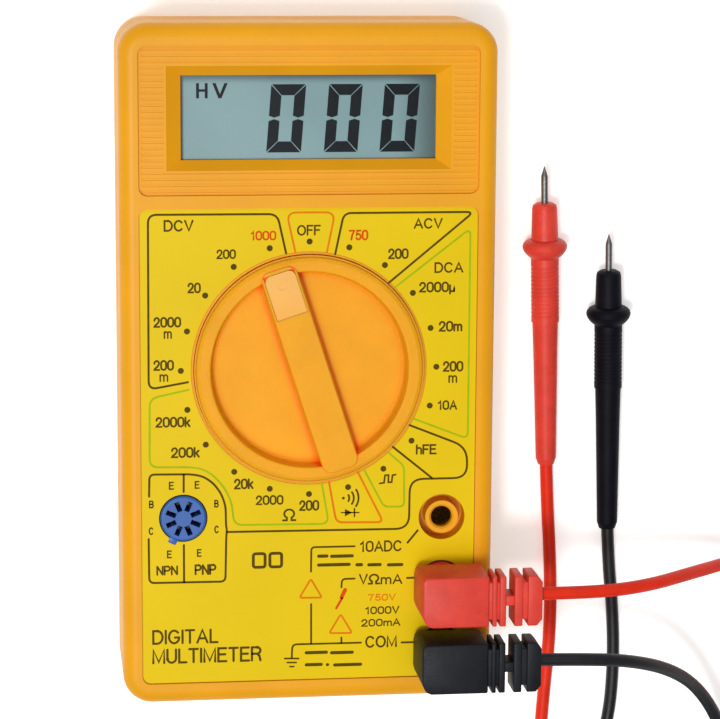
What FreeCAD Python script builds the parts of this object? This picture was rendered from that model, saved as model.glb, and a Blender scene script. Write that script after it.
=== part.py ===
import FreeCAD, Part
import Sketcher
import math
import os

# Hand-held digital multimeter with two test leads.
# Frame: the meter lies on its back, Z = 0 is the back face, +Z leaves the
# front panel, +Y runs toward the display end, +X is the jack side.

V = FreeCAD.Vector
doc = FreeCAD.newDocument("multimeter")
sheet = doc.addObject("Spreadsheet::Sheet", "Dims")

SIZES = [
    # case
    ("case_width", 69.4), ("case_length", 127.0), ("case_top", 25.0), ("split_height", 11.0),
    ("wall", 2.0), ("corner_radius", 5.5), ("top_round", 2.6), ("bottom_round", 2.2), ("seam_chamfer", 0.35),
    ("ceiling", 22.0), ("seat_depth", 0.8), ("panel_half_x", 31.2), ("panel_low_y", -59.5), ("panel_high_y", 29.95),
    ("bezel_low_y", 32.3), ("bezel_high_y", 59.5), ("bezel_depth", 0.6),
    ("rib_pitch", 1.12), ("rib_width", 0.5), ("rib_depth", 0.14),
    ("slope_half_x", 26.1), ("slope_low_y", 36.9), ("slope_high_y", 55.7), ("slope_bottom", 22.7),
    ("view_half_x", 23.4), ("view_low_y", 38.6), ("view_high_y", 54.0),
    ("screw_x", 29.2), ("screw_high_y", 57.4), ("screw_low_y", -20.0),
    ("board_screw_x", 27.5), ("board_screw_high_y", 20.0), ("board_screw_low_y", -8.0),
    ("label_thick", 0.3),
    # selector
    ("knob_radius", 21.1), ("knob_hole_radius", 21.4), ("label_hole_radius", 21.85), ("knob_top", 26.1),
    ("knob_base", 19.9), ("flange_radius", 22.6), ("flange_top", 21.6), ("dish_radius", 18.3), ("dish_floor", 22.9),
    ("bar_width", 6.9), ("pin_radius", 2.45), ("knob_turn", 18.0), ("crown_half", 3.35), ("crown_reach", 19.75), ("crown_height", 0.35),
    ("detent_radius", 23.0), ("detent_outer", 25.4), ("detent_bottom", 16.8), ("ball_radius", 1.5),
    ("ball_height", 18.4), ("ball_place", 21.4),
    # jacks
    ("jack_x", 25.0), ("jack_first_y", -28.6), ("jack_pitch", 12.7), ("bore_radius", 2.0), ("tube_radius", 2.4),
    ("tube_bottom", 10.5), ("tube_top", 22.7), ("well_radius", 4.35), ("collar_radius", 3.1), ("well_bottom", 20.6),
    ("boss_radius", 5.6), ("plug_pin_radius", 1.94),
    # transistor socket
    ("socket_x", -23.4), ("socket_y", -27.8), ("socket_radius", 4.3), ("socket_top", 25.0), ("slot_width", 0.95),
    ("slot_inner", 1.5), ("slot_outer", 3.4), ("slot_depth", 6.0),
    # board
    ("board_top", 15.6), ("board_thick", 1.6), ("board_half_x", 32.0), ("board_high_y", 58.6), ("board_low_y", -33.4),
    ("arm_left", 19.2), ("arm_low_y", -59.8),
    # display
    ("glass_half_x", 24.9), ("glass_low_y", 35.3), ("glass_high_y", 57.3), ("glass_bottom", 19.2), ("glass_top", 21.9),
    # battery
    ("cell_left", -31.3), ("cell_low_y", -60.3), ("cell_length", 46.2), ("cell_width", 26.0), ("cell_height", 17.3),
    # leads
    ("plug_left", 19.75), ("plug_right", 32.1), ("plug_width", 9.5), ("plug_drop", 0.55), ("plug_bottom", 25.1), ("plug_top", 37.6),
    ("relief_end", 42.1), ("relief_bottom", 30.9), ("cord_height", 34.3), ("cord_diameter", 2.5),
    ("probe_length", 59.0), ("needle_radius", 0.65), ("guard_radius", 4.3), ("grip_radius", 2.7), ("tail_radius", 1.95),
    ("coil_lift", 0.5),
]
for row, (alias, value) in enumerate(SIZES, start=1):
    sheet.set("A%d" % row, alias)
    sheet.set("B%d" % row, repr(float(value)))
    sheet.setAlias("B%d" % row, alias)
doc.recompute()


class Q:
    """A number that also knows its own spreadsheet expression."""

    def __init__(self, val, txt):
        self.val = float(val)
        self.txt = txt

    def __add__(self, o):
        o = q(o)
        return Q(self.val + o.val, "(%s + %s)" % (self.txt, o.txt))

    __radd__ = __add__

    def __sub__(self, o):
        o = q(o)
        return Q(self.val - o.val, "(%s - %s)" % (self.txt, o.txt))

    def __rsub__(self, o):
        return q(o) - self

    def __mul__(self, o):
        o = q(o)
        return Q(self.val * o.val, "(%s * %s)" % (self.txt, o.txt))

    __rmul__ = __mul__

    def __truediv__(self, o):
        o = q(o)
        return Q(self.val / o.val, "(%s / %s)" % (self.txt, o.txt))

    def __neg__(self):
        return Q(-self.val, "(0 - %s)" % self.txt)


def q(v):
    return v if isinstance(v, Q) else Q(v, "(%s)" % repr(float(v)))


class Sizes:
    pass


D = Sizes()
for alias, value in SIZES:
    setattr(D, alias, Q(value, "Dims." + alias))

SUBPARTS = []          # final objects, in the order they are written


def final(obj, label):
    obj.Label = label
    SUBPARTS.append((obj, label))
    return obj


def bind(obj, prop, value):
    obj.setExpression(prop, q(value).txt)


def put(obj, x=0, y=0, z=0):
    for axis, value in (("x", x), ("y", y), ("z", z)):
        bind(obj, "Placement.Base." + axis, value)


TURN = {"Z": FreeCAD.Rotation(), "X": FreeCAD.Rotation(V(0, 1, 0), 90), "Y": FreeCAD.Rotation(V(1, 0, 0), -90)}


def cyl(r, h, x=0, y=0, z=0, axis="Z", name="Rod"):
    o = doc.addObject("Part::Cylinder", name)
    o.Placement = FreeCAD.Placement(V(0, 0, 0), TURN[axis])
    bind(o, "Radius", r)
    bind(o, "Height", h)
    put(o, x, y, z)
    return o


def cone(r1, r2, h, x=0, y=0, z=0, axis="Z", name="Taper"):
    o = doc.addObject("Part::Cone", name)
    o.Placement = FreeCAD.Placement(V(0, 0, 0), TURN[axis])
    bind(o, "Radius1", r1)
    bind(o, "Radius2", r2)
    bind(o, "Height", h)
    put(o, x, y, z)
    return o


def box(x, y, z, a, b, c, name="Block"):
    o = doc.addObject("Part::Box", name)
    bind(o, "Length", a)
    bind(o, "Width", b)
    bind(o, "Height", c)
    put(o, x, y, z)
    return o


def fuse(parts, name="Joined"):
    o = doc.addObject("Part::MultiFuse", name)
    o.Shapes = parts
    return o


def cut(base, tools, name="Cutout"):
    tool = tools[0] if len(tools) == 1 else fuse(tools, name + "_tools")
    o = doc.addObject("Part::Cut", name)
    o.Base = base
    o.Tool = tool
    return o


def group(parts, name="Set"):
    o = doc.addObject("Part::Compound", name)
    o.Links = parts
    return o


def rounded(base, radius, test, name="Rounded"):
    doc.recompute()
    o = doc.addObject("Part::Fillet", name)
    o.Base = base
    o.Edges = [(i + 1, radius.val, radius.val) for i, e in enumerate(base.Shape.Edges) if test(e)]
    return o


def vertical(e):
    b = e.BoundBox
    return b.XLength < 1e-6 and b.YLength < 1e-6 and b.ZLength > 1e-3


# ---- PartDesign helpers ------------------------------------------------------

def new_body(label):
    return final(doc.addObject("PartDesign::Body", label), label)


def sketch(body, height=None, role="XY_Plane", name="Sketch"):
    sk = body.newObject("Sketcher::SketchObject", name)
    plane = [f for f in body.Origin.OriginFeatures if f.Role == role][0]
    sk.AttachmentSupport = [(plane, "")]
    sk.MapMode = "FlatFace"
    if height is not None:
        bind(sk, "AttachmentOffset.Base.z", height)
    return sk


def dim(sk, kind, args, value):
    value = q(value)
    i = sk.addConstraint(Sketcher.Constraint(kind, *(list(args) + [value.val])))
    sk.setExpression("Constraints[%d]" % i, value.txt)


def place_point(sk, geo, pos, x, y):
    for kind, value in (("DistanceX", q(x)), ("DistanceY", q(y))):
        if abs(value.val) < 1e-9:
            sk.addConstraint(Sketcher.Constraint("PointOnObject", geo, pos, -2 if kind == "DistanceX" else -1))
        elif value.val > 0:
            dim(sk, kind, (-1, 1, geo, pos), value)
        else:
            dim(sk, kind, (geo, pos, -1, 1), -value)


def circle(sk, r, x=0, y=0):
    x, y, r = q(x), q(y), q(r)
    g = sk.addGeometry(Part.Circle(V(x.val, y.val, 0), V(0, 0, 1), r.val), False)
    dim(sk, "Radius", (g,), r)
    place_point(sk, g, 3, x, y)


def rect(sk, x0, y0, w, l):
    x0, y0, w, l = q(x0), q(y0), q(w), q(l)
    p = [V(x0.val, y0.val, 0), V(x0.val + w.val, y0.val, 0), V(x0.val + w.val, y0.val + l.val, 0), V(x0.val, y0.val + l.val, 0)]
    g = [sk.addGeometry(Part.LineSegment(p[i], p[(i + 1) % 4]), False) for i in range(4)]
    for i in range(4):
        sk.addConstraint(Sketcher.Constraint("Coincident", g[i], 2, g[(i + 1) % 4], 1))
    for i, kind in enumerate(("Horizontal", "Vertical", "Horizontal", "Vertical")):
        sk.addConstraint(Sketcher.Constraint(kind, g[i]))
    dim(sk, "DistanceX", (g[0], 1, g[0], 2), w)
    dim(sk, "DistanceY", (g[1], 1, g[1], 2), l)
    place_point(sk, g[0], 1, x0, y0)


def poly(sk, pts):
    """Closed outline; every corner is placed from the sketch origin."""
    pts = [(q(x), q(y)) for x, y in pts]
    n = len(pts)
    v = [V(x.val, y.val, 0) for x, y in pts]
    g = [sk.addGeometry(Part.LineSegment(v[i], v[(i + 1) % n]), False) for i in range(n)]
    for i in range(n):
        sk.addConstraint(Sketcher.Constraint("Coincident", g[i], 2, g[(i + 1) % n], 1))
    for i in range(n):
        place_point(sk, g[i], 1, pts[i][0], pts[i][1])


def pad(body, sk, length, down=False):
    f = body.newObject("PartDesign::Pad", "Pad")
    f.Profile = sk
    bind(f, "Length", length)
    f.Reversed = down
    body.Tip = f
    return f


def pocket(body, sk, length, up=False):
    f = body.newObject("PartDesign::Pocket", "Pocket")
    f.Profile = sk
    bind(f, "Length", length)
    f.Reversed = up
    body.Tip = f
    return f


def pd_round(body, radius, test, kind="Fillet"):
    doc.recompute()
    base = body.Tip
    names = ["Edge%d" % (i + 1) for i, e in enumerate(base.Shape.Edges) if test(e)]
    f = body.newObject("PartDesign::" + kind, kind)
    f.Base = (base, names)
    bind(f, "Radius" if kind == "Fillet" else "Size", radius)
    body.Tip = f
    doc.recompute()
    return f


def volume_drop(body, before, what):
    doc.recompute()
    now = body.Shape.Volume
    if not now < before - 1e-3:
        raise RuntimeError(what + " removed nothing")
    return now


def at_z(e, z, tol=1e-4):
    b = e.BoundBox
    return abs(b.ZMin - z) < tol and abs(b.ZMax - z) < tol


def on_outline(e, half_x, half_y, tol=1e-3):
    b = e.BoundBox
    return (abs(abs(b.XMin) - half_x) < tol and abs(abs(b.XMax) - half_x) < tol and b.XLength < tol) or \
           (abs(abs(b.YMin) - half_y) < tol and abs(abs(b.YMax) - half_y) < tol and b.YLength < tol)


half_w = D.case_width / 2
half_l = D.case_length / 2
screw_spots = [(sx * D.screw_x, y) for sx in (-1, 1) for y in (D.screw_high_y, D.screw_low_y)]
board_spots = [(sx * D.board_screw_x, y) for sx in (-1, 1) for y in (D.board_screw_high_y, D.board_screw_low_y)]
jack_y = [D.jack_first_y, D.jack_first_y - D.jack_pitch, D.jack_first_y - 2 * D.jack_pitch]


def outer_corners(e):
    b = e.BoundBox
    return vertical(e) and abs(abs(b.XMin) - half_w.val) < 1e-3 and abs(abs(b.YMin) - half_l.val) < 1e-3


# ---- rear case ----------------------------------------------------------------
rear = new_body("rear_case")
sk = sketch(rear)
rect(sk, -half_w, -half_l, D.case_width, D.case_length)
pad(rear, sk, D.split_height)
pd_round(rear, D.corner_radius, outer_corners)
pd_round(rear, D.bottom_round, lambda e: at_z(e, 0.0))
pd_round(rear, D.seam_chamfer, lambda e: at_z(e, D.split_height.val), "Chamfer")
vol = rear.Shape.Volume
sk = sketch(rear, D.split_height)
rect(sk, D.wall - half_w, D.wall - half_l, D.case_width - 2 * D.wall, D.case_length - 2 * D.wall)
pocket(rear, sk, D.split_height - D.wall)
vol = volume_drop(rear, vol, "rear cavity")
pd_round(rear, D.corner_radius - D.wall,
         lambda e: vertical(e) and abs(abs(e.BoundBox.XMin) - (half_w.val - D.wall.val)) < 1e-3)
sk = sketch(rear, D.wall)
for x, y in screw_spots:
    circle(sk, 3.15, x, y)
pad(rear, sk, D.split_height - D.wall)
doc.recompute()
vol = rear.Shape.Volume
sk = sketch(rear, 0)
for x, y in screw_spots:
    circle(sk, 1.6, x, y)
pocket(rear, sk, D.split_height, up=True)
vol = volume_drop(rear, vol, "screw holes")
sk = sketch(rear, 0)
for x, y in screw_spots:
    circle(sk, 2.75, x, y)
pocket(rear, sk, 4.0, up=True)
vol = volume_drop(rear, vol, "screw counterbores")
# two locating walls that keep the battery in its corner
sk = sketch(rear, D.wall)
rect(sk, D.cell_left + 4, D.cell_low_y + D.cell_width + 0.4, 34, 1.2)
pad(rear, sk, 7.0)

# ---- front case -----------------------------------------------------------------
front = new_body("front_case")
sk = sketch(front, D.split_height)
rect(sk, -half_w, -half_l, D.case_width, D.case_length)
pad(front, sk, D.case_top - D.split_height)
pd_round(front, D.corner_radius, outer_corners)
pd_round(front, D.top_round, lambda e: at_z(e, D.case_top.val))
pd_round(front, D.seam_chamfer, lambda e: at_z(e, D.split_height.val), "Chamfer")
vol = front.Shape.Volume
sk = sketch(front, D.split_height)
rect(sk, D.wall - half_w, D.wall - half_l, D.case_width - 2 * D.wall, D.case_length - 2 * D.wall)
pocket(front, sk, D.ceiling - D.split_height, up=True)
vol = volume_drop(front, vol, "front cavity")
pd_round(front, D.corner_radius - D.wall,
         lambda e: vertical(e) and abs(abs(e.BoundBox.XMin) - (half_w.val - D.wall.val)) < 1e-3)
vol = front.Shape.Volume
# shallow seat of the printed label
sk = sketch(front, D.case_top)
rect(sk, -D.panel_half_x, D.panel_low_y, 2 * D.panel_half_x, D.panel_high_y - D.panel_low_y)
pocket(front, sk, D.seat_depth)
vol = volume_drop(front, vol, "label seat")
# display surround, ribbed floor
sk = sketch(front, D.case_top)
rect(sk, -D.panel_half_x, D.bezel_low_y, 2 * D.panel_half_x, D.bezel_high_y - D.bezel_low_y)
pocket(front, sk, D.bezel_depth)
vol = volume_drop(front, vol, "display surround")


def seat_corners(e):
    b = e.BoundBox
    return vertical(e) and abs(abs(b.XMin) - D.panel_half_x.val) < 1e-3 and b.ZMin > 24.0


pd_round(front, q(1.6), seat_corners)
vol = front.Shape.Volume
sk = sketch(front, D.case_top - D.bezel_depth)
rect(sk, -(D.panel_half_x - 0.6), D.bezel_low_y + 0.55, 2 * (D.panel_half_x - 0.6), D.rib_width)
ribs = pocket(front, sk, D.rib_depth)
doc.recompute()
pat = front.newObject("PartDesign::LinearPattern", "RibPattern")
pat.Originals = [ribs]
pat.Direction = (sk, ["V_Axis"])
bind(pat, "Length", D.rib_pitch * 23)
pat.Occurrences = 24
front.Tip = pat
vol = volume_drop(front, vol, "ribs")
# plain margin round the sloped frame
sk = sketch(front, D.case_top - D.bezel_depth - D.rib_depth)
rect(sk, -(D.slope_half_x + 0.45), D.slope_low_y - 0.45, 2 * (D.slope_half_x + 0.45), D.slope_high_y - D.slope_low_y + 0.9)
pad(front, sk, D.rib_depth)
doc.recompute()
vol = front.Shape.Volume
# sloped frame down to the display, then the window through the wall
loft = front.newObject("PartDesign::SubtractiveLoft", "Slope")
sk_a = sketch(front, D.case_top - D.bezel_depth + 0.2)
over = 0.2 * (D.slope_half_x.val - D.view_half_x.val) / (D.case_top.val - D.bezel_depth.val - D.slope_bottom.val)
rect(sk_a, -(D.slope_half_x + over), D.slope_low_y - over, 2 * (D.slope_half_x + over), D.slope_high_y - D.slope_low_y + 2 * over)
sk_b = sketch(front, D.slope_bottom)
rect(sk_b, -D.view_half_x, D.view_low_y, 2 * D.view_half_x, D.view_high_y - D.view_low_y)
loft.Profile = sk_a
loft.Sections = [sk_b]
loft.Ruled = True
front.Tip = loft
vol = volume_drop(front, vol, "display slope")
sk = sketch(front, D.slope_bottom + 0.1)
rect(sk, -D.view_half_x, D.view_low_y, 2 * D.view_half_x, D.view_high_y - D.view_low_y)
pocket(front, sk, 3.0)
vol = volume_drop(front, vol, "display window")
# inner ring of the selector, posts, jack bosses
sk = sketch(front, D.ceiling)
circle(sk, D.detent_outer)
pad(front, sk, D.ceiling - D.detent_bottom, down=True)
sk = sketch(front, D.ceiling)
for x, y in screw_spots:
    circle(sk, 2.8, x, y)
pad(front, sk, D.ceiling - D.split_height, down=True)
sk = sketch(front, D.ceiling)
for x, y in board_spots:
    circle(sk, 2.3, x, y)
for y in jack_y:
    circle(sk, D.boss_radius, D.jack_x, y)
pad(front, sk, D.ceiling - D.board_top, down=True)
doc.recompute()
vol = front.Shape.Volume
sk = sketch(front, D.case_top)
circle(sk, D.knob_hole_radius)
pocket(front, sk, 4.0)
vol = volume_drop(front, vol, "selector hole")
sk = sketch(front, D.ceiling)
circle(sk, D.detent_radius)
pocket(front, sk, 8.0)
vol = volume_drop(front, vol, "selector room")
# flush lip round the selector hole, inside the label's cut-out
sk = sketch(front, D.case_top - D.seat_depth)
circle(sk, D.label_hole_radius - 0.05)
circle(sk, D.knob_hole_radius)
pad(front, sk, D.label_thick)
# twenty click notches
doc.recompute()
vol = front.Shape.Volume
sk = sketch(front, D.detent_bottom)
circle(sk, 1.45, 0, D.detent_radius + 0.25)
notch = pocket(front, sk, 4.2, up=True)
doc.recompute()
pat = front.newObject("PartDesign::PolarPattern", "NotchPattern")
pat.Originals = [notch]
pat.Axis = (sk, ["N_Axis"])
pat.Angle = 360
pat.Occurrences = 20
front.Tip = pat
vol = volume_drop(front, vol, "click notches")
# screw pilot holes
sk = sketch(front, D.split_height)
for x, y in screw_spots:
    circle(sk, 1.35, x, y)
pocket(front, sk, 8.6, up=True)
vol = volume_drop(front, vol, "case screw pilots")
sk = sketch(front, D.board_top)
for x, y in board_spots:
    circle(sk, 0.95, x, y)
pocket(front, sk, 4.6, up=True)
vol = volume_drop(front, vol, "board screw pilots")
# jack wells, collars and tube holes
sk = sketch(front, D.case_top)
for y in jack_y:
    circle(sk, D.well_radius, D.jack_x, y)
pocket(front, sk, D.case_top - D.well_bottom)
vol = volume_drop(front, vol, "jack wells")
sk = sketch(front, D.well_bottom)
for y in jack_y:
    circle(sk, D.collar_radius, D.jack_x, y)
pad(front, sk, D.case_top - D.seat_depth + D.label_thick - D.well_bottom)
doc.recompute()
vol = front.Shape.Volume
sk = sketch(front, D.case_top)
for y in jack_y:
    circle(sk, D.bore_radius, D.jack_x, y)
pocket(front, sk, 12.0)
vol = volume_drop(front, vol, "collar holes")
sk = sketch(front, D.split_height)
for y in jack_y:
    circle(sk, D.tube_radius + 0.05, D.jack_x, y)
pocket(front, sk, D.tube_top + 0.03 - D.split_height, up=True)
vol = volume_drop(front, vol, "jack tube holes")
# transistor socket hole with its keyway
sk = sketch(front, D.case_top)
circle(sk, D.socket_radius + 0.2, D.socket_x, D.socket_y)
pocket(front, sk, 4.0)
vol = volume_drop(front, vol, "socket hole")
pd_round(front, q(0.35), lambda e: at_z(e, D.case_top.val - D.seat_depth.val + D.label_thick.val)
         and abs(e.BoundBox.XLength - 2 * D.bore_radius.val) < 1e-3
         and abs(e.BoundBox.XMin + D.bore_radius.val - D.jack_x.val) < 1e-3, "Chamfer")

# ---- printed label --------------------------------------------------------------
label = new_body("face_label")
gap = 0.06
sk = sketch(label, D.case_top - D.seat_depth)
rect(sk, -(D.panel_half_x - gap), D.panel_low_y + gap, 2 * (D.panel_half_x - gap), D.panel_high_y - D.panel_low_y - 2 * gap)
circle(sk, D.label_hole_radius)
for y in jack_y:
    circle(sk, D.well_radius, D.jack_x, y)
circle(sk, D.socket_radius + 0.2, D.socket_x, D.socket_y)
pad(label, sk, D.label_thick)
pd_round(label, q(1.5), lambda e: vertical(e) and abs(abs(e.BoundBox.XMin) - (D.panel_half_x.val - gap)) < 1e-3)

# ---- circuit board ---------------------------------------------------------------
board = new_body("circuit_board")
board_bottom = D.board_top - D.board_thick
sk = sketch(board, board_bottom)
poly(sk, [(-D.board_half_x, D.board_low_y), (D.arm_left, D.board_low_y), (D.arm_left, D.arm_low_y),
          (D.board_half_x, D.arm_low_y), (D.board_half_x, D.board_high_y), (-D.board_half_x, D.board_high_y)])
pad(board, sk, D.board_thick)
doc.recompute()
vol = board.Shape.Volume
sk = sketch(board, D.board_top)
for x, y in screw_spots:
    circle(sk, 3.5, x, y)
pocket(board, sk, D.board_thick)
vol = volume_drop(board, vol, "board notches")
sk = sketch(board, D.board_top)
circle(sk, 2.5)
for y in jack_y:
    circle(sk, D.tube_radius + 0.05, D.jack_x, y)
for x, y in board_spots:
    circle(sk, 1.1, x, y)
pocket(board, sk, D.board_thick)
vol = volume_drop(board, vol, "board holes")

# ---- selector knob ---------------------------------------------------------------
knob = new_body("selector_knob")
sk = sketch(knob, role="XZ_Plane")
poly(sk, [(0, D.knob_base - 7.4), (D.pin_radius - 0.4, D.knob_base - 7.4), (D.pin_radius, D.knob_base - 7.0),
          (D.pin_radius, D.board_top + 0.3), (5.5, D.board_top + 0.3), (5.5, D.knob_base),
          (D.flange_radius, D.knob_base), (D.flange_radius, D.flange_top), (D.knob_radius, D.flange_top),
          (D.knob_radius, D.knob_top - 0.9), (D.knob_radius - 0.3, D.knob_top - 0.3), (D.knob_radius - 0.9, D.knob_top),
          (D.dish_radius + 0.35, D.knob_top), (D.dish_radius + 0.1, D.knob_top - 0.1), (D.dish_radius, D.knob_top - 0.35),
          (D.dish_radius - 0.28, D.dish_floor + 0.6), (D.dish_radius - 0.5, D.dish_floor + 0.2), (D.dish_radius - 0.95, D.dish_floor), (0, D.dish_floor)])
rev = knob.newObject("PartDesign::Revolution", "Turned")
rev.Profile = sk
rev.ReferenceAxis = (sk, ["V_Axis"])
rev.Angle = 360
knob.Tip = rev
reach = D.dish_radius + 1.2
hb = D.bar_width / 2
sk = sketch(knob, role="XZ_Plane", height=-reach)
poly(sk, [(-hb - 0.35, D.dish_floor - 0.5), (hb + 0.35, D.dish_floor - 0.5), (hb + 0.35, D.dish_floor + 0.25), (hb + 0.1, D.dish_floor + 0.7),
          (hb - 0.02, D.knob_top), (0.02 - hb, D.knob_top), (-hb - 0.1, D.dish_floor + 0.7),
          (-hb - 0.35, D.dish_floor + 0.25)])
pad(knob, sk, 2 * reach)
doc.recompute()
vol = knob.Shape.Volume
# the bar's crown stands a little above the ring and runs over it, with rounded ends
sk = sketch(knob, D.knob_top)
rect(sk, -D.crown_half, -D.crown_reach, 2 * D.crown_half, 2 * D.crown_reach)
pad(knob, sk, D.crown_height)
doc.recompute()
pd_round(knob, q(1.7), lambda e: vertical(e) and e.BoundBox.ZMin > D.knob_top.val - 0.01)
pd_round(knob, q(0.15), lambda e: at_z(e, D.knob_top.val + D.crown_height.val), "Chamfer")
vol = knob.Shape.Volume
# the pointer's seat at the far end of the bar
sk = sketch(knob, D.knob_top + D.crown_height)
rect(sk, -2.95, 10.65, 5.9, 8.45)
pocket(knob, sk, 0.5)
vol = volume_drop(knob, vol, "pointer seat")
# ball and spring holders under the flange
sk = sketch(knob, D.knob_base)
rect(sk, 12.0, -2.5, 10.1, 5.0)
rect(sk, -22.1, -2.5, 10.1, 5.0)
pad(knob, sk, D.knob_base - D.ball_height + 2.0, down=True)
doc.recompute()
vol = knob.Shape.Volume
sk = sketch(knob, role="YZ_Plane", height=13.2)
circle(sk, D.ball_radius + 0.05, 0, D.ball_height)
pocket(knob, sk, 12.0, up=True)
vol = volume_drop(knob, vol, "ball hole A")
sk = sketch(knob, role="YZ_Plane", height=-13.2)
circle(sk, D.ball_radius + 0.05, 0, D.ball_height)
pocket(knob, sk, 12.0)
vol = volume_drop(knob, vol, "ball hole B")
knob.Placement = FreeCAD.Placement(V(0, 0, 0), FreeCAD.Rotation(V(0, 0, 1), D.knob_turn.val))


def turned(obj):
    """Turn a piece that sits in the knob to the knob's own bearing."""
    doc.recompute()
    r = FreeCAD.Placement(V(0, 0, 0), FreeCAD.Rotation(V(0, 0, 1), D.knob_turn.val))
    obj.Placement = r.multiply(obj.Placement)
    return obj


pointer_top = D.knob_top + D.crown_height
pointer = rounded(box(-2.88, 10.72, pointer_top - 0.45, 5.76, 8.3, 0.5, "PointerPlate"), q(1.3),
                  lambda e: vertical(e) and e.BoundBox.YMin > 15, "Pointer")
pointer = cut(pointer, [cyl(0.75, 1.0, 0, 16.6, pointer_top - 0.12)], "PointerDimple")
final(turned(pointer), "knob_pointer")

balls = []
for sx in (1, -1):
    o = doc.addObject("Part::Sphere", "Ball")
    bind(o, "Radius", D.ball_radius)
    put(o, sx * D.ball_place, 0, D.ball_height)
    balls.append(o)
final(turned(group(balls, "Balls")), "detent_balls")

springs = []
coil_r, wire_r = 1.1, 0.18
for sx in (1, -1):
    helix = Part.makeHelix(1.0, 5.6, coil_r)
    ring = Part.Wire([Part.Circle(V(coil_r, 0, 0), V(0, 1, 0), wire_r).toShape()])
    body = Part.Wire(helix.Edges).makePipeShell([ring], True, True)
    body.rotate(V(0, 0, 0), V(0, 1, 0), 90 * sx)
    body.translate(V(sx * 13.9, 0, D.ball_height.val))
    springs.append(body)
o = doc.addObject("Part::Feature", "Springs")
o.Shape = Part.makeCompound(springs)
o.Placement = FreeCAD.Placement()
final(turned(o), "detent_springs")

leaves = []
for i, r in enumerate((8.2, 11.6, 15.0)):
    y = q(-r)
    z = D.board_top + 0.06
    plate = box(-3.0, y - 0.7, z, 6.0, 1.4, 0.25, "LeafPad")
    legs = [box(-3.0, y - 0.7, z, 0.3, 1.4, D.knob_base - z, "LeafLeg"), box(2.7, y - 0.7, z, 0.3, 1.4, D.knob_base - z, "LeafLeg")]
    leaves.append(fuse([plate] + legs, "Leaf"))
final(turned(group(leaves, "Leaves")), "wiper_contacts")

# ---- jacks -----------------------------------------------------------------------
for name, y in zip(("jack_10a", "jack_vma", "jack_com"), jack_y):
    length = D.tube_top - D.tube_bottom
    tube = cut(fuse([cyl(D.tube_radius, length, D.jack_x, y, D.tube_bottom, name="JackTube"),
                     cyl(D.tube_radius + 0.9, 0.6, D.jack_x, y, board_bottom - 0.6, name="JackShoulder")], "JackSolid"),
               [cyl(D.bore_radius, length + 2, D.jack_x, y, D.tube_bottom - 1, name="JackBore")], "Jack")
    final(tube, name)

# ---- transistor socket -------------------------------------------------------------
sock = new_body("transistor_socket")
sk = sketch(sock, D.board_top + 0.05)
circle(sk, D.socket_radius)
pad(sock, sk, D.socket_top - D.board_top - 0.05)
doc.recompute()
pd_round(sock, q(0.45), lambda e: at_z(e, D.socket_top.val))
vol = sock.Shape.Volume
sk = sketch(sock, D.socket_top)
rect(sk, -(D.slot_width / 2), D.slot_inner, D.slot_width, D.slot_outer - D.slot_inner)
slot = pocket(sock, sk, D.slot_depth)
doc.recompute()
pat = sock.newObject("PartDesign::PolarPattern", "SlotPattern")
pat.Originals = [slot]
pat.Axis = (sk, ["N_Axis"])
pat.Angle = 360
pat.Occurrences = 8
sock.Tip = pat
vol = volume_drop(sock, vol, "socket slots")
sock.Placement = FreeCAD.Placement(V(D.socket_x.val, D.socket_y.val, 0), FreeCAD.Rotation(V(0, 0, 1), 22.5))
bind(sock, "Placement.Base.x", D.socket_x)
bind(sock, "Placement.Base.y", D.socket_y)

clips = []
mid = (D.slot_inner.val + D.slot_outer.val) / 2
for k in range(8):
    a = math.radians(22.5 + 45 * k)
    clips.append(cyl(0.3, 3.2, D.socket_x + mid * math.cos(a), D.socket_y + mid * math.sin(a),
                     D.socket_top - D.slot_depth + 0.02, name="Clip"))
final(group(clips, "Clips"), "socket_contacts")

# ---- display ------------------------------------------------------------------------
glass = box(-D.glass_half_x, D.glass_low_y, D.glass_bottom, 2 * D.glass_half_x, D.glass_high_y - D.glass_low_y,
            D.glass_top - D.glass_bottom, "Glass")
final(glass, "lcd_glass")
mirror = box(-23.6, 38.4, D.glass_bottom - 0.3, 47.2, 15.8, 0.28, "Mirror")
final(mirror, "lcd_reflector")
frame_out = box(-(D.glass_half_x + 1.1), D.glass_low_y - 1.1, D.board_top, 2 * (D.glass_half_x + 1.1),
                D.glass_high_y - D.glass_low_y + 2.2, D.glass_top - D.board_top, "HolderOuter")
frame_in = box(-(D.glass_half_x + 0.1), D.glass_low_y - 0.1, D.board_top - 1, 2 * (D.glass_half_x + 0.1),
               D.glass_high_y - D.glass_low_y + 0.2, 10, "HolderInner")
final(cut(frame_out, [frame_in], "Holder"), "lcd_holder")
zebra = [box(-22.5, y, D.board_top, 45, 1.8, D.glass_bottom - D.board_top, "Strip") for y in (D.glass_low_y + 0.4, D.glass_high_y - 2.2)]
final(group(zebra, "Zebra"), "zebra_strips")

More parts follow.
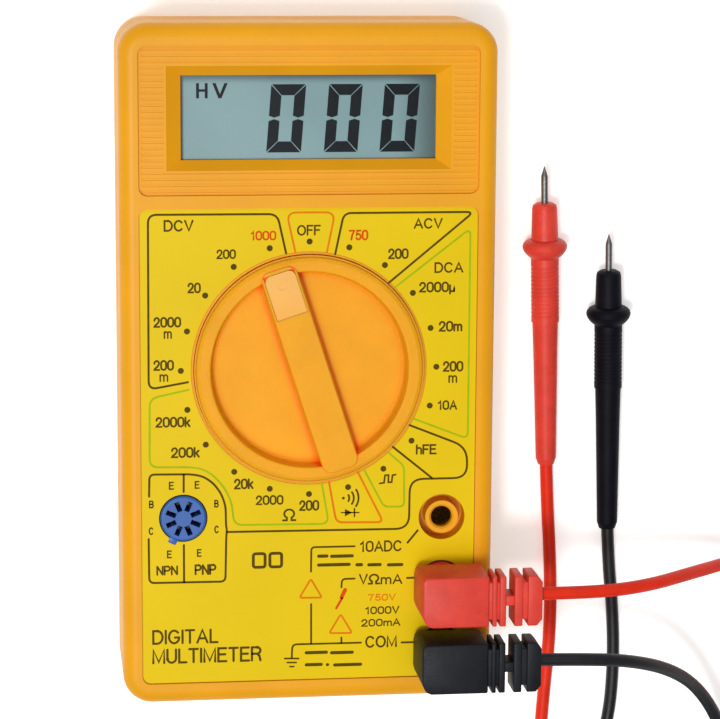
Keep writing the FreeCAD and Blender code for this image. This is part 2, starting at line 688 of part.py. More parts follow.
# ---- battery and wiring ----------------------------------------------------------------
cell_z = D.wall + 0.2
cell = rounded(box(D.cell_left, D.cell_low_y, cell_z, D.cell_length, D.cell_width, D.cell_height, "Cell"),
               q(2.0), lambda e: e.BoundBox.XLength > 40, "CellBody")
cell_right = D.cell_left + D.cell_length
cell_mid = cell_z + D.cell_height / 2
post_low = D.cell_low_y + 6.6
post_high = D.cell_low_y + D.cell_width - 6.6
final(fuse([cell, cyl(2.85, 2.1, cell_right, post_low, cell_mid, "X", "PostA"),
            cyl(2.85, 2.1, cell_right, post_high, cell_mid, "X", "PostB")], "Battery"), "battery")
snap = box(cell_right + 0.1, D.cell_low_y + 0.8, cell_mid - 6.5, 3.6, D.cell_width - 1.6, 13.0, "SnapPad")
final(cut(snap, [cyl(2.9, 2.4, cell_right, post_low, cell_mid, "X", "SocketA"),
                 cyl(2.9, 2.4, cell_right, post_high, cell_mid, "X", "SocketB")], "Snap"), "battery_snap")


def smooth_route(pts, name, ratio=0.45):
    """Straight runs joined by tangent arcs; returns the wire and its length."""
    pts = [V(*p) for p in pts]
    n = len(pts)
    cuts = [None] * n
    for i in range(1, n - 1):
        a = pts[i - 1] - pts[i]
        b = pts[i + 1] - pts[i]
        turn = math.pi - a.getAngle(b)
        t = ratio * min(a.Length, b.Length)
        r = t / math.tan(turn / 2)
        cuts[i] = (t, r, turn)
    edges = []
    here = pts[0]
    for i in range(1, n - 1):
        t, r, turn = cuts[i]
        ua = (pts[i - 1] - pts[i]).normalize()
        ub = (pts[i + 1] - pts[i]).normalize()
        p0 = pts[i] + ua * t
        p1 = pts[i] + ub * t
        bis = (ua + ub).normalize()
        centre = pts[i] + bis * (r / math.cos(turn / 2))
        mid_pt = centre - bis * r
        if (p0 - here).Length > 1e-4:
            edges.append(Part.LineSegment(here, p0).toShape())
        edges.append(Part.Arc(p0, mid_pt, p1).toShape())
        here = p1
    edges.append(Part.LineSegment(here, pts[-1]).toShape())
    wire = Part.Wire(edges)
    print("%s: length %.1f mm, radii %s" % (name, wire.Length, " ".join("%.1f" % c[1] for c in cuts[1:-1])))
    return wire


def tube_along(pts, radius, name, label=None, ratio=0.45):
    wire = smooth_route(pts, name, ratio)
    start = V(*pts[0])
    direction = (V(*pts[1]) - start).normalize()
    ring = Part.Wire([Part.Circle(start, direction, radius).toShape()])
    solid = wire.makePipeShell([ring], True, False)
    want = math.pi * radius ** 2 * wire.Length
    if abs(solid.Volume - want) > 0.01 * want:
        raise RuntimeError("%s: swept volume %.1f, expected %.1f" % (name, solid.Volume, want))
    o = doc.addObject("Part::Feature", name)
    o.Shape = solid
    o.Placement = FreeCAD.Placement()
    if label:
        final(o, label)
    return o


snap_face = cell_right.val + 3.7
wires = []
for y, z in ((post_low.val, 8.0), (post_high.val, 8.0)):
    side = 1.0 if y < -48 else -1.0
    wires.append(tube_along([(snap_face, y, z), (snap_face + 1.5, y, z), (snap_face + 2.1, y + side * 0.8, z + 1.6),
                             (snap_face + 2.1, y + side * 1.6, board_bottom.val - 0.1)], 0.5, "battery wire"))
final(group(wires, "BatteryWires"), "battery_wires")

# ---- parts on the back of the board --------------------------------------------------------
fuse_z = board_bottom - 3.2
fuse_y = -27.0
final(fuse([cyl(2.4, 20, -10, fuse_y, fuse_z, "X", "FuseGlass"), cyl(2.6, 5, -10, fuse_y, fuse_z, "X", "FuseCap"),
            cyl(2.6, 5, 5, fuse_y, fuse_z, "X", "FuseCap")], "Fuse"), "fuse")
clips = []
for x in (-9.0, 6.0):
    clips.append(cut(box(x, fuse_y - 3.0, fuse_z - 1.2, 3.0, 6.0, 4.4, "ClipBlock"),
                     [cyl(2.65, 5, x - 1, fuse_y, fuse_z, "X", "ClipBore")], "FuseClip"))
final(group(clips, "FuseClips"), "fuse_clips")
tube_along([(29.9, -31.0, board_bottom.val), (29.9, -31.0, 9.5), (29.9, -36.0, 8.6), (29.9, -46.6, 8.6),
            (29.9, -51.6, 9.5), (29.9, -51.6, board_bottom.val)], 0.75, "shunt wire", "shunt_wire")

chip_base = cyl(6.6, 0.5, 0, 14.0, board_bottom - 0.5, name="ChipSeat")
chip_top = cone(5.2, 6.2, 1.2, 0, 14.0, board_bottom - 1.7, name="ChipCap")
final(fuse([chip_base, chip_top], "Chip"), "chip_blob")

final(cut(fuse([box(-23.5, 17.5, board_bottom - 4.2, 6.6, 6.9, 4.2, "TrimBody"),
                cyl(2.0, 0.6, -20.2, 20.95, board_bottom - 4.8, name="TrimScrew")], "Trim"),
          [box(-22.4, 20.6, board_bottom - 5.0, 4.4, 0.7, 0.6, "TrimSlot")], "Trimmer"), "trimmer")

res = []
for x0, ys in ((-25.5, (-4.6, -0.6, 3.4, 7.4, 11.4)), (13.6, (-14.6, -10.6, -2.6, 1.4, 5.4))):
    for y in ys:
        z = board_bottom - 1.7
        one = [cyl(1.1, 6.2, x0 + 2.4, y, z, "X", "ResistorBody"), cyl(0.3, 10.6, x0 + 0.2, y, z, "X", "ResistorLead")]
        one += [cyl(0.3, 1.7, x0 + 0.4, y, z, name="ResistorLeg"), cyl(0.3, 1.7, x0 + 10.6, y, z, name="ResistorLeg")]
        res.append(fuse(one, "Resistor"))
final(group(res, "Resistors"), "resistors")
caps = [cyl(2.5, 5.2, 19.0, 14.0, board_bottom - 5.2, name="Can"), cyl(2.5, 5.2, 13.0, 25.0, board_bottom - 5.2, name="Can"),
        box(-3.0, -15.5, board_bottom - 5.0, 6.0, 2.0, 5.0, "Film"), box(-12.0, 26.0, board_bottom - 4.4, 5.0, 1.6, 4.4, "Film")]
final(group(caps, "Capacitors"), "capacitors")
final(fuse([cyl(6.0, 1.0, -18.0, -17.0, board_bottom - 1.0, name="BuzzerBase"),
            cyl(5.6, 3.0, -18.0, -17.0, board_bottom - 4.0, name="BuzzerCan")], "Buzzer"), "buzzer")

# ---- screws -----------------------------------------------------------------------------------
screws = []
for x, y in screw_spots:
    head = cyl(2.6, 1.7, x, y, 2.3, name="Head")
    one = fuse([head, cyl(1.25, 14.6, x, y, 4.0, name="Shank")], "ScrewSolid")
    screws.append(cut(one, [box(x - 1.6, y - 0.25, 2.2, 3.2, 0.5, 1.0, "CrossA"), box(x - 0.25, y - 1.6, 2.2, 0.5, 3.2, 1.0, "CrossB")], "Screw"))
final(group(screws, "CaseScrews"), "case_screws")
screws = []
for x, y in board_spots:
    one = fuse([cyl(1.9, 1.2, x, y, board_bottom - 1.2, name="Head"), cyl(0.9, 5.6, x, y, board_bottom, name="Shank")], "ScrewSolid")
    screws.append(cut(one, [box(x - 1.3, y - 0.2, board_bottom - 1.4, 2.6, 0.4, 0.8, "CrossA"),
                            box(x - 0.2, y - 1.3, board_bottom - 1.4, 0.4, 2.6, 0.8, "CrossB")], "Screw"))
final(group(screws, "BoardScrews"), "board_screws")

# ---- test leads ----------------------------------------------------------------------------------
cord_r = D.cord_diameter.val / 2


def plug(colour, y):
    """Right-angle banana plug: block, shroud that enters the jack's well, ribbed strain relief."""
    b = new_body(colour + "_plug_body")
    sk = sketch(b, D.plug_bottom)
    rect(sk, D.plug_left, -(D.plug_width / 2) - D.plug_drop, D.plug_right - D.plug_left, D.plug_width)
    pad(b, sk, D.plug_top - D.plug_bottom)
    doc.recompute()
    pd_round(b, q(2.0), lambda e: at_z(e, D.plug_bottom.val) and e.BoundBox.YMin > 0 and e.BoundBox.YLength < 1e-3, "Chamfer")
    pd_round(b, q(1.3), lambda e: vertical(e) and abs(e.BoundBox.XMin - D.plug_left.val) < 1e-3 and e.BoundBox.YMin < 0, "Chamfer")
    pd_round(b, q(0.9), lambda e: vertical(e) and e.BoundBox.YMin > 0 and abs(e.BoundBox.XMin - D.plug_left.val) < 1e-3)
    pd_round(b, q(0.55), lambda e: at_z(e, D.plug_top.val))
    sk = sketch(b, D.plug_bottom)
    circle(sk, 4.05, D.jack_x, 0)
    circle(sk, 3.4, D.jack_x, 0)
    pad(b, sk, 3.6, down=True)
    # strain relief: a waist with full-size ribs
    mid_z = (D.relief_bottom + D.plug_top) / 2
    for x, w, half in ((32.1, 3.2, 3.5), (35.3, 1.6, 1.0), (36.9, 4.9, 3.5)):
        sk = sketch(b, role="YZ_Plane", height=q(x))
        rect(sk, -D.plug_drop - half, D.relief_bottom + 0.8, 2 * half, D.plug_top - D.relief_bottom - 1.5)
        pad(b, sk, w)
        doc.recompute()
    for x, w in ((32.75, 0.8), (34.1, 1.2), (36.9, 1.5), (39.4, 2.7)):
        sk = sketch(b, role="YZ_Plane", height=q(x))
        rect(sk, -(D.plug_width / 2) - D.plug_drop, D.relief_bottom, D.plug_width, D.plug_top - D.relief_bottom - 0.15)
        pad(b, sk, w)
    doc.recompute()
    end = D.relief_end.val
    pd_round(b, q(1.1), lambda e: abs(e.BoundBox.XMin - end) < 1e-3 and e.BoundBox.XLength < 1e-3
             and (abs(abs(e.BoundBox.YMin + D.plug_drop.val) - D.plug_width.val / 2) < 1e-3 and e.BoundBox.YLength < 1e-3), "Chamfer")
    doc.recompute()
    vol = b.Shape.Volume
    sk = sketch(b, role="YZ_Plane", height=D.relief_end + 0.1)
    circle(sk, D.cord_diameter / 2 + 0.02, 0, D.cord_height)
    pocket(b, sk, 2.2)
    vol = volume_drop(b, vol, "cord entry")
    sk = sketch(b, D.plug_bottom)
    circle(sk, D.plug_pin_radius, D.jack_x, 0)
    pocket(b, sk, 4.2, up=True)
    vol = volume_drop(b, vol, "pin seat")
    b.Placement = FreeCAD.Placement(V(0, y.val, 0), FreeCAD.Rotation())
    bind(b, "Placement.Base.y", y)
    pin = fuse([cyl(D.plug_pin_radius, 13.0, D.jack_x, y, D.plug_bottom - 8.8, name="PinBody"),
                cone(1.15, D.plug_pin_radius, 4.2, D.jack_x, y, D.plug_bottom - 13.0, name="PinNose")], "Pin")
    slots = [box(D.jack_x - 0.2, y - 3, D.plug_bottom - 11.0, 0.4, 6, 7.5, "PinSlot")]
    final(cut(pin, slots, "PlugPin"), colour + "_plug_pin")


def tilt_for(tip, tail):
    d = V(*tail) - V(*tip)
    return FreeCAD.Placement(V(*tip), FreeCAD.Rotation(V(0, 0, 1), d))


def probe(colour, tip, tail):
    """Test probe, drawn along its own +Z from the needle point, then laid on the table."""
    place = tilt_for(tip, tail)
    b = new_body(colour + "_probe_handle")
    sk = sketch(b, role="XZ_Plane")
    g = D.guard_radius
    profile = [(0, 7.1), (1.6, 7.1), (2.25, 7.5), (2.42, 8.2), (2.6, 14.2), (3.25, 14.3), (3.8, 14.6), (g - 0.15, 15.0), (g, 15.5), (g - 0.05, 15.95), (g - 0.25, 16.45),
               (3.7, 16.95), (3.25, 17.4), (2.85, 17.68), (D.grip_radius, 17.9)]
    z = 19.4
    while z < 29.4:
        profile += [(D.grip_radius, z), (D.grip_radius - 0.09, z + 0.12), (D.grip_radius - 0.09, z + 0.3), (D.grip_radius, z + 0.42)]
        z += 0.78
    profile += [(D.grip_radius, 30.4), (0, 30.4)]
    poly(sk, profile)
    rev = b.newObject("PartDesign::Revolution", "Turned")
    rev.Profile = sk
    rev.ReferenceAxis = (sk, ["V_Axis"])
    rev.Angle = 360
    b.Tip = rev
    doc.recompute()
    vol = b.Shape.Volume
    sk = sketch(b, height=7.0)
    circle(sk, D.needle_radius)
    pocket(b, sk, 14.0, up=True)
    volume_drop(b, vol, "needle seat")
    b.Placement = place
    needle = fuse([cone(0.06, D.needle_radius, 1.9, 0, 0, 0, name="NeedlePoint"), cyl(D.needle_radius, 19.0, 0, 0, 1.9, name="NeedleBody")], "Needle")
    doc.recompute()
    needle.Placement = place
    final(needle, colour + "_probe_needle")
    boot = cut(fuse([cone(2.5, 2.35, 6.0, 0, 0, 30.4, name="BootA"),
                     cone(2.35, D.tail_radius + 0.05, D.probe_length - 36.4 - 1.2, 0, 0, 36.4, name="BootB"),
                     cone(D.tail_radius + 0.05, D.tail_radius - 0.35, 1.2, 0, 0, D.probe_length - 1.2, name="BootC")], "Boot"),
               [cyl(D.cord_diameter / 2 + 0.02, 4.0, 0, 0, D.probe_length - 3.0, name="BootBore")], "ProbeBoot")
    doc.recompute()
    boot.Placement = place
    final(boot, colour + "_probe_boot")
    return place


def coil(colour, cx, cy, mean, columns, height):
    lift = D.coil_lift
    half = columns * D.cord_diameter / 2
    ring = cut(cyl(mean + half, height, cx, cy, lift, name="CoilOuter"), [cyl(mean - half, height + 2, cx, cy, lift - 1, name="CoilInner")], "CoilRing")
    ring = rounded(ring, q(1.1), lambda e: len(e.Vertexes) <= 2 and e.BoundBox.ZLength < 1e-6, "Coil")
    final(ring, colour + "_cord_coil")
    return half.val


def tie(colour, cx, cy, mean, half, height, angle):
    """Loop of strap round one side of the coil."""
    lift = D.coil_lift.val
    o = cut(box(mean - half - 0.5, -1.8, 0, 2 * half + 1.0, 3.6, height + lift + 0.5, "TieOuter"),
            [box(mean - half - 0.2, -3, lift - 0.02, 2 * half + 0.25, 6, height + 0.04, "TieInner")], "TieLoop")
    doc.recompute()
    o.Placement = FreeCAD.Placement(V(cx, cy, 0), FreeCAD.Rotation(V(0, 0, 1), angle))
    final(o, colour + "_cord_tie")


RED_TIP, RED_TAIL = (47.0, 35.1, 5.58), (49.0, -23.8, 2.02)
BLACK_TIP, BLACK_TAIL = (59.85, 21.9, 5.58), (61.5, -37.0, 2.02)
RED_COIL, BLACK_COIL = (106.0, -57.5), (76.0, -97.0)
yr, yb = jack_y[1].val, jack_y[2].val
ch = D.cord_height.val
xe = D.relief_end.val

plug("red", jack_y[1])
tube_along([(xe - 1.8, yr, ch), (52.5, yr - 0.25, ch - 0.5), (63.5, yr - 0.1, ch - 3.9), (74.5, yr + 0.1, 22.0),
            (84.5, yr - 0.6, 12.0), (94.5, yr - 1.4, 5.6), (106.3, yr - 1.9, 3.4)], cord_r, "red plug cord", "red_plug_cord")
half = coil("red", RED_COIL[0], RED_COIL[1], 14.0, 3, 5.0)
tie("red", RED_COIL[0], RED_COIL[1], 14.0, half, 5.0, 200.0)
tube_along([(RED_COIL[0] + 14.2, RED_COIL[1] + 1.5, 2.4), (RED_COIL[0] + 14.4, RED_COIL[1] - 11.5, 1.8),
            (RED_COIL[0] + 13.2, RED_COIL[1] - 27.0, 1.3), (RED_COIL[0] + 8.6, RED_COIL[1] - 43.5, 1.3),
            (104.5, -113.0, 1.3), (90.5, -120.3, 1.3), (74.5, -121.8, 1.3), (60.0, -116.6, 1.3), (51.0, -105.0, 1.3),
            (48.5, -90.5, 1.3), (49.2, -74.0, 1.3), (50.7, -57.5, 1.3), (50.3, -42.5, 1.35),
            (RED_TAIL[0] + 0.42, RED_TAIL[1] - 7.6, 1.6), (RED_TAIL[0], RED_TAIL[1] + 1.2, RED_TAIL[2] + 0.07)],
           cord_r, "red probe cord", "red_probe_cord")
probe("red", RED_TIP, RED_TAIL)

plug("black", jack_y[2])
tube_along([(xe - 1.8, yb, ch), (51.0, yb - 0.3, ch - 0.4), (60.5, yb - 1.7, ch - 3.2), (69.5, yb - 5.6, 24.2),
            (77.0, yb - 11.6, 15.6), (83.6, yb - 20.0, 8.6), (88.2, yb - 30.8, 4.6), (89.2, yb - 43.6, 3.4)],
           cord_r, "black plug cord", "black_plug_cord")
half = coil("black", BLACK_COIL[0], BLACK_COIL[1], 13.0, 3, 7.5)
tie("black", BLACK_COIL[0], BLACK_COIL[1], 13.0, half, 7.5, 250.0)
tube_along([(BLACK_COIL[0] - 13.2, BLACK_COIL[1] - 1.5, 2.4), (BLACK_COIL[0] - 13.6, BLACK_COIL[1] + 9.5, 1.8),
            (62.9, -76.5, 1.3), (63.6, -64.5, 1.3), (63.1, -53.5, 1.3),
            (BLACK_TAIL[0] + 0.5, BLACK_TAIL[1] - 7.0, 1.6), (BLACK_TAIL[0], BLACK_TAIL[1] + 1.2, BLACK_TAIL[2] + 0.07)],
           cord_r, "black probe cord", "black_probe_cord")
probe("black", BLACK_TIP, BLACK_TAIL)

# ---- check and write ----------------------------------------------------------------------------------
doc.recompute()
for o in doc.Objects:
    if "Invalid" in o.State or "Error" in o.State:
        raise RuntimeError("%s (%s) failed: %s" % (o.Name, o.Label, o.State))
os.makedirs("parts", exist_ok=True)
for o, name in SUBPARTS:
    s = o.Shape
    if s.isNull() or not s.isValid() or not s.Solids:
        raise RuntimeError(name + " has no valid solid")
for o, name in SUBPARTS:
    o.Shape.exportStep("parts/%s.step" % name)
    b = o.Shape.BoundBox
    print("%-20s solids %2d  vol %9.1f  x %7.2f..%7.2f  y %7.2f..%7.2f  z %6.2f..%6.2f" % (
        name, len(o.Shape.Solids), o.Shape.Volume, b.XMin, b.XMax, b.YMin, b.YMax, b.ZMin, b.ZMax))
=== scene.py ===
"""Looks of a hand-held digital multimeter with two test leads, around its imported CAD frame.

All lengths are metres in the CAD frame. The numbers of the printed panel are written in millimetres and
scaled by MM where they are used.
"""

import math

import bmesh
import bpy
from mathutils import Matrix, Vector


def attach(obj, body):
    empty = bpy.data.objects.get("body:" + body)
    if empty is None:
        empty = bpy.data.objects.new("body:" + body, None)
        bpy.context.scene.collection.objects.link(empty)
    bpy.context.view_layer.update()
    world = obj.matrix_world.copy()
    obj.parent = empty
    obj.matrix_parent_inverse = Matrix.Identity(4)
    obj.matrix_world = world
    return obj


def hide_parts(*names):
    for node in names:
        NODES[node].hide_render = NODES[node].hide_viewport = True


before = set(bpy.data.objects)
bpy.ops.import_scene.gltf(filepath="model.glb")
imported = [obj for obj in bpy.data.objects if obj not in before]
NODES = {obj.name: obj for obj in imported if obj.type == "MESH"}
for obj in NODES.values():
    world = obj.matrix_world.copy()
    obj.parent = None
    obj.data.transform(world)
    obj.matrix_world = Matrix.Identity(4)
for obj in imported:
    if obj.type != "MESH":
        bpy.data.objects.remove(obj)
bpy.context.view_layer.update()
MM = 0.001


# ---------------------------------------------------------------- materials
def srgb(r, g, b):
    out = []
    for c in (r, g, b):
        c = c / 255.0
        out.append(c / 12.92 if c <= 0.04045 else ((c + 0.055) / 1.055) ** 2.4)
    return (out[0], out[1], out[2], 1.0)


def material(name, base, vary=0.06, rough=(0.35, 0.45), patch=90.0, grain=2600.0, bump=0.04, depth=0.00004,
             metallic=0.0, coat=0.0, coat_rough=0.1, spec=0.5, sss=0.0, sss_scale=0.002, speck=0.0, speck_scale=1500.0,
             stretch=None, ior=1.5):
    """A moulded, drawn or cast surface: slow colour drift, fine specks, grain in the normal and the gloss."""
    m = bpy.data.materials.new(name)
    m.use_nodes = True
    nt = m.node_tree
    n, l = nt.nodes, nt.links
    bsdf = n["Principled BSDF"]
    tc = n.new("ShaderNodeTexCoord")
    src = tc.outputs["Object"]
    if stretch:
        mp = n.new("ShaderNodeMapping")
        mp.inputs["Scale"].default_value = stretch
        l.new(src, mp.inputs["Vector"])
        src = mp.outputs["Vector"]
    big = n.new("ShaderNodeTexNoise")
    big.inputs["Scale"].default_value = patch
    big.inputs["Detail"].default_value = 3.0
    big.inputs["Roughness"].default_value = 0.55
    l.new(src, big.inputs["Vector"])
    fine = n.new("ShaderNodeTexNoise")
    fine.inputs["Scale"].default_value = grain
    fine.inputs["Detail"].default_value = 2.0
    l.new(src, fine.inputs["Vector"])
    low = tuple(max(0.0, c * (1 - vary)) for c in base[:3]) + (1.0,)
    high = tuple(min(1.0, c * (1 + vary * 0.7)) for c in base[:3]) + (1.0,)
    ramp = n.new("ShaderNodeValToRGB")
    ramp.color_ramp.elements[0].position = 0.32
    ramp.color_ramp.elements[0].color = low
    ramp.color_ramp.elements[1].position = 0.68
    ramp.color_ramp.elements[1].color = high
    l.new(big.outputs["Fac"], ramp.inputs["Fac"])
    colour = ramp.outputs["Color"]
    if speck > 0:
        sp = n.new("ShaderNodeTexNoise")
        sp.inputs["Scale"].default_value = speck_scale
        sp.inputs["Detail"].default_value = 4.0
        l.new(src, sp.inputs["Vector"])
        mr = n.new("ShaderNodeMapRange")
        mr.inputs["From Min"].default_value = 0.55
        mr.inputs["From Max"].default_value = 0.75
        mr.inputs["To Max"].default_value = speck
        l.new(sp.outputs["Fac"], mr.inputs["Value"])
        mix = n.new("ShaderNodeMixRGB")
        mix.blend_type = "MULTIPLY"
        mix.inputs["Color2"].default_value = (0.55, 0.5, 0.45, 1)
        l.new(mr.outputs["Result"], mix.inputs["Fac"])
        l.new(colour, mix.inputs["Color1"])
        colour = mix.outputs["Color"]
    l.new(colour, bsdf.inputs["Base Color"])
    rr = n.new("ShaderNodeMapRange")
    rr.inputs["From Min"].default_value = 0.3
    rr.inputs["From Max"].default_value = 0.7
    rr.inputs["To Min"].default_value = rough[0]
    rr.inputs["To Max"].default_value = rough[1]
    l.new(fine.outputs["Fac"], rr.inputs["Value"])
    l.new(rr.outputs["Result"], bsdf.inputs["Roughness"])
    bp = n.new("ShaderNodeBump")
    bp.inputs["Strength"].default_value = bump
    bp.inputs["Distance"].default_value = depth
    l.new(fine.outputs["Fac"], bp.inputs["Height"])
    l.new(bp.outputs["Normal"], bsdf.inputs["Normal"])
    bsdf.inputs["Metallic"].default_value = metallic
    bsdf.inputs["IOR"].default_value = ior
    bsdf.inputs["Specular IOR Level"].default_value = spec
    if coat > 0:
        bsdf.inputs["Coat Weight"].default_value = coat
        bsdf.inputs["Coat Roughness"].default_value = coat_rough
    if sss > 0:
        bsdf.inputs["Subsurface Weight"].default_value = sss
        bsdf.inputs["Subsurface Radius"].default_value = (1.0, 0.35, 0.08)
        bsdf.inputs["Subsurface Scale"].default_value = sss_scale
    return m


CASE = material("case_abs_orange", (0.80, 0.352, 0.006, 1), vary=0.05, rough=(0.36, 0.48), patch=60, grain=5200, bump=0.10, speck=0.05, spec=0.2)
KNOB = material("knob_abs_orange", (0.84, 0.385, 0.014, 1), vary=0.06, rough=(0.36, 0.46), patch=80, grain=5200, bump=0.10, speck=0.06, spec=0.12, sss=0.5, sss_scale=0.0022)
POINTER = material("pointer_abs", (0.85, 0.43, 0.075, 1), vary=0.05, rough=(0.3, 0.4), patch=160, grain=5200, bump=0.08, spec=0.35)
LABEL = material("label_film_yellow", (0.745, 0.525, 0.0004, 1), vary=0.035, rough=(0.30, 0.40), patch=45, grain=7000, bump=0.05, spec=0.10)
INK_DARK = material("ink_dark", (0.088, 0.056, 0.001, 1), vary=0.2, rough=(0.5, 0.6), patch=700, grain=9000, bump=0.02, spec=0.08)
INK_GREEN = material("ink_green", (0.34, 0.46, 0.002, 1), vary=0.08, rough=(0.5, 0.6), patch=500, grain=9000, bump=0.02, spec=0.08)
INK_ORANGE = material("ink_orange", (0.72, 0.19, 0.002, 1), vary=0.08, rough=(0.5, 0.6), patch=500, grain=9000, bump=0.02, spec=0.08)
INK_RED = material("ink_red", (0.66, 0.075, 0.002, 1), vary=0.1, rough=(0.5, 0.6), patch=500, grain=9000, bump=0.02, spec=0.08)
LCD = material("lcd_cell", (0.195, 0.318, 0.342, 1), vary=0.08, rough=(0.2, 0.28), patch=40, grain=3500, bump=0.01, coat=0.12, coat_rough=0.04, spec=0.2)


def paint_edge_shade(m, axis, x0, x1, colour, before, after):
    """Painted shade at a display cell's edges: blend to colour between two places along an axis."""
    nt = m.node_tree
    n, l = nt.nodes, nt.links
    bsdf = n["Principled BSDF"]
    src = bsdf.inputs["Base Color"].links[0].from_socket
    tc = n.new("ShaderNodeTexCoord")
    sep = n.new("ShaderNodeSeparateXYZ")
    l.new(tc.outputs["Object"], sep.inputs["Vector"])
    mr = n.new("ShaderNodeMapRange")
    mr.interpolation_type = "SMOOTHSTEP"
    mr.inputs["From Min"].default_value = x0
    mr.inputs["From Max"].default_value = x1
    mr.inputs["To Min"].default_value = before
    mr.inputs["To Max"].default_value = after
    l.new(sep.outputs[axis], mr.inputs["Value"])
    mix = n.new("ShaderNodeMixRGB")
    mix.inputs["Color2"].default_value = colour
    l.new(mr.outputs["Result"], mix.inputs["Fac"])
    l.new(src, mix.inputs["Color1"])
    l.new(mix.outputs["Color"], bsdf.inputs["Base Color"])


def paint_corner_shade(m, colour, reach, strength):
    """Painted shade: the base colour is mixed towards a deeper colour where ambient occlusion finds corners, gaps and
    recesses within reach.
    """
    nt = m.node_tree
    n, l = nt.nodes, nt.links
    bsdf = n["Principled BSDF"]
    src = bsdf.inputs["Base Color"].links[0].from_socket
    ao = n.new("ShaderNodeAmbientOcclusion")
    ao.samples = 8
    ao.inputs["Distance"].default_value = reach
    mr = n.new("ShaderNodeMapRange")
    mr.inputs["From Min"].default_value = 0.35
    mr.inputs["From Max"].default_value = 0.92
    mr.inputs["To Min"].default_value = strength
    mr.inputs["To Max"].default_value = 0.0
    l.new(ao.outputs["AO"], mr.inputs["Value"])
    mix = n.new("ShaderNodeMixRGB")
    mix.inputs["Color2"].default_value = colour
    l.new(mr.outputs["Result"], mix.inputs["Fac"])
    l.new(src, mix.inputs["Color1"])
    l.new(mix.outputs["Color"], bsdf.inputs["Base Color"])


def fade_low(m, colour, top):
    """The inlay gets closer to the bar's colour towards its lower end."""
    nt = m.node_tree
    n, l = nt.nodes, nt.links
    bsdf = n["Principled BSDF"]
    src = bsdf.inputs["Base Color"].links[0].from_socket
    tc = n.new("ShaderNodeTexCoord")
    xyz = n.new("ShaderNodeSeparateXYZ")
    mr = n.new("ShaderNodeMapRange")
    mr.inputs["From Min"].default_value = 0.0
    mr.inputs["From Max"].default_value = top
    mr.inputs["To Min"].default_value = 1.0
    mr.inputs["To Max"].default_value = 0.0
    mix = n.new("ShaderNodeMixRGB")
    mix.inputs["Color2"].default_value = colour
    l.new(tc.outputs["Generated"], xyz.inputs["Vector"])
    l.new(xyz.outputs["Y"], mr.inputs["Value"])
    l.new(mr.outputs["Result"], mix.inputs["Fac"])
    l.new(src, mix.inputs["Color1"])
    l.new(mix.outputs["Color"], bsdf.inputs["Base Color"])


fade_low(POINTER, (0.83, 0.375, 0.034, 1), 0.65)
# Painted shade: the knob and the case take a deeper, redder colour in their corners, gaps and recesses. On the knob
# this stands in for the shadow beside the bar.
paint_corner_shade(KNOB, (0.96, 0.085, 0.0003, 1), 0.0016, 0.95)
paint_corner_shade(CASE, (0.72, 0.20, 0.001, 1), 0.0010, 0.45)
# Painted shade on the display cell: it is darker towards its right side, has a near-black strip down its left edge, and
# is darker along its top edge, where the window around it shades it.
paint_edge_shade(LCD, "X", 0.0150, 0.0250, (0.06, 0.09, 0.09, 1), 0.0, 0.95)
paint_edge_shade(LCD, "X", -0.0232, -0.0226, (0.02, 0.024, 0.028, 1), 1.0, 0.0)
paint_edge_shade(LCD, "Y", 0.0522, 0.0541, (0.05, 0.08, 0.085, 1), 0.0, 0.85)
# Painted shade: a near-black strip for the shadow at the display's edge. This material is not put on any part.
LCD_SHADE_STRIP = material("lcd_dark_edge", (0.018, 0.022, 0.026, 1), vary=0.2, rough=(0.3, 0.4), patch=400)
SEGMENT = material("lcd_segment", (0.006, 0.009, 0.013, 1), vary=0.2, rough=(0.22, 0.3), patch=500, grain=9000, bump=0.01, coat=0.0, spec=0.12)
BRASS = material("plated_brass", (0.72, 0.58, 0.34, 1), vary=0.14, rough=(0.18, 0.34), patch=700, grain=2500, bump=0.12, metallic=1.0)
# Painted shade: the socket's contacts get a dark metal that stands in for the shade inside the socket's slots.
SLOT_SHADE_METAL = material("tarnished_brass", (0.10, 0.085, 0.07, 1), vary=0.2, rough=(0.5, 0.65), patch=700, grain=2500, bump=0.1, metallic=1.0)
NICKEL = material("nickel_plate", (0.66, 0.65, 0.62, 1), vary=0.1, rough=(0.14, 0.28), patch=900, grain=3000, bump=0.1, metallic=1.0)
NEEDLE = material("needle_nickel", (0.20, 0.20, 0.205, 1), vary=0.22, rough=(0.42, 0.56), patch=500, grain=3000, bump=0.15, metallic=1.0)
STEEL = material("zinc_screw", (0.55, 0.55, 0.57, 1), vary=0.15, rough=(0.25, 0.42), patch=900, grain=2500, bump=0.15, metallic=1.0)
SOCKET = material("socket_blue", (0.028, 0.110, 0.39, 1), vary=0.08, rough=(0.32, 0.44), patch=300, grain=4500, bump=0.1, spec=0.3)
RED = material("lead_red", (0.68, 0.052, 0.034, 1), vary=0.10, rough=(0.36, 0.5), patch=260, grain=3000, bump=0.32, spec=0.22, speck=0.2, speck_scale=900)
BLACK = material("lead_black", (0.0095, 0.0105, 0.0145, 1), vary=0.25, rough=(0.42, 0.56), patch=260, grain=3000, bump=0.32, spec=0.16)
BLACK_SOFT = material("probe_black", (0.0045, 0.0048, 0.0095, 1), vary=0.25, rough=(0.46, 0.6), patch=260, grain=3000, bump=0.3, spec=0.08)
RED_PVC = material("cord_red_pvc", (0.72, 0.028, 0.008, 1), vary=0.08, rough=(0.36, 0.5), patch=260, grain=2600, bump=0.22, spec=0.16)
BLACK_PVC = material("cord_black_pvc", (0.010, 0.011, 0.014, 1), vary=0.2, rough=(0.36, 0.5), patch=260, grain=2600, bump=0.22, spec=0.3)
WHITE = material("white_nylon", (0.74, 0.73, 0.69, 1), vary=0.05, rough=(0.4, 0.52), patch=300, bump=0.1)
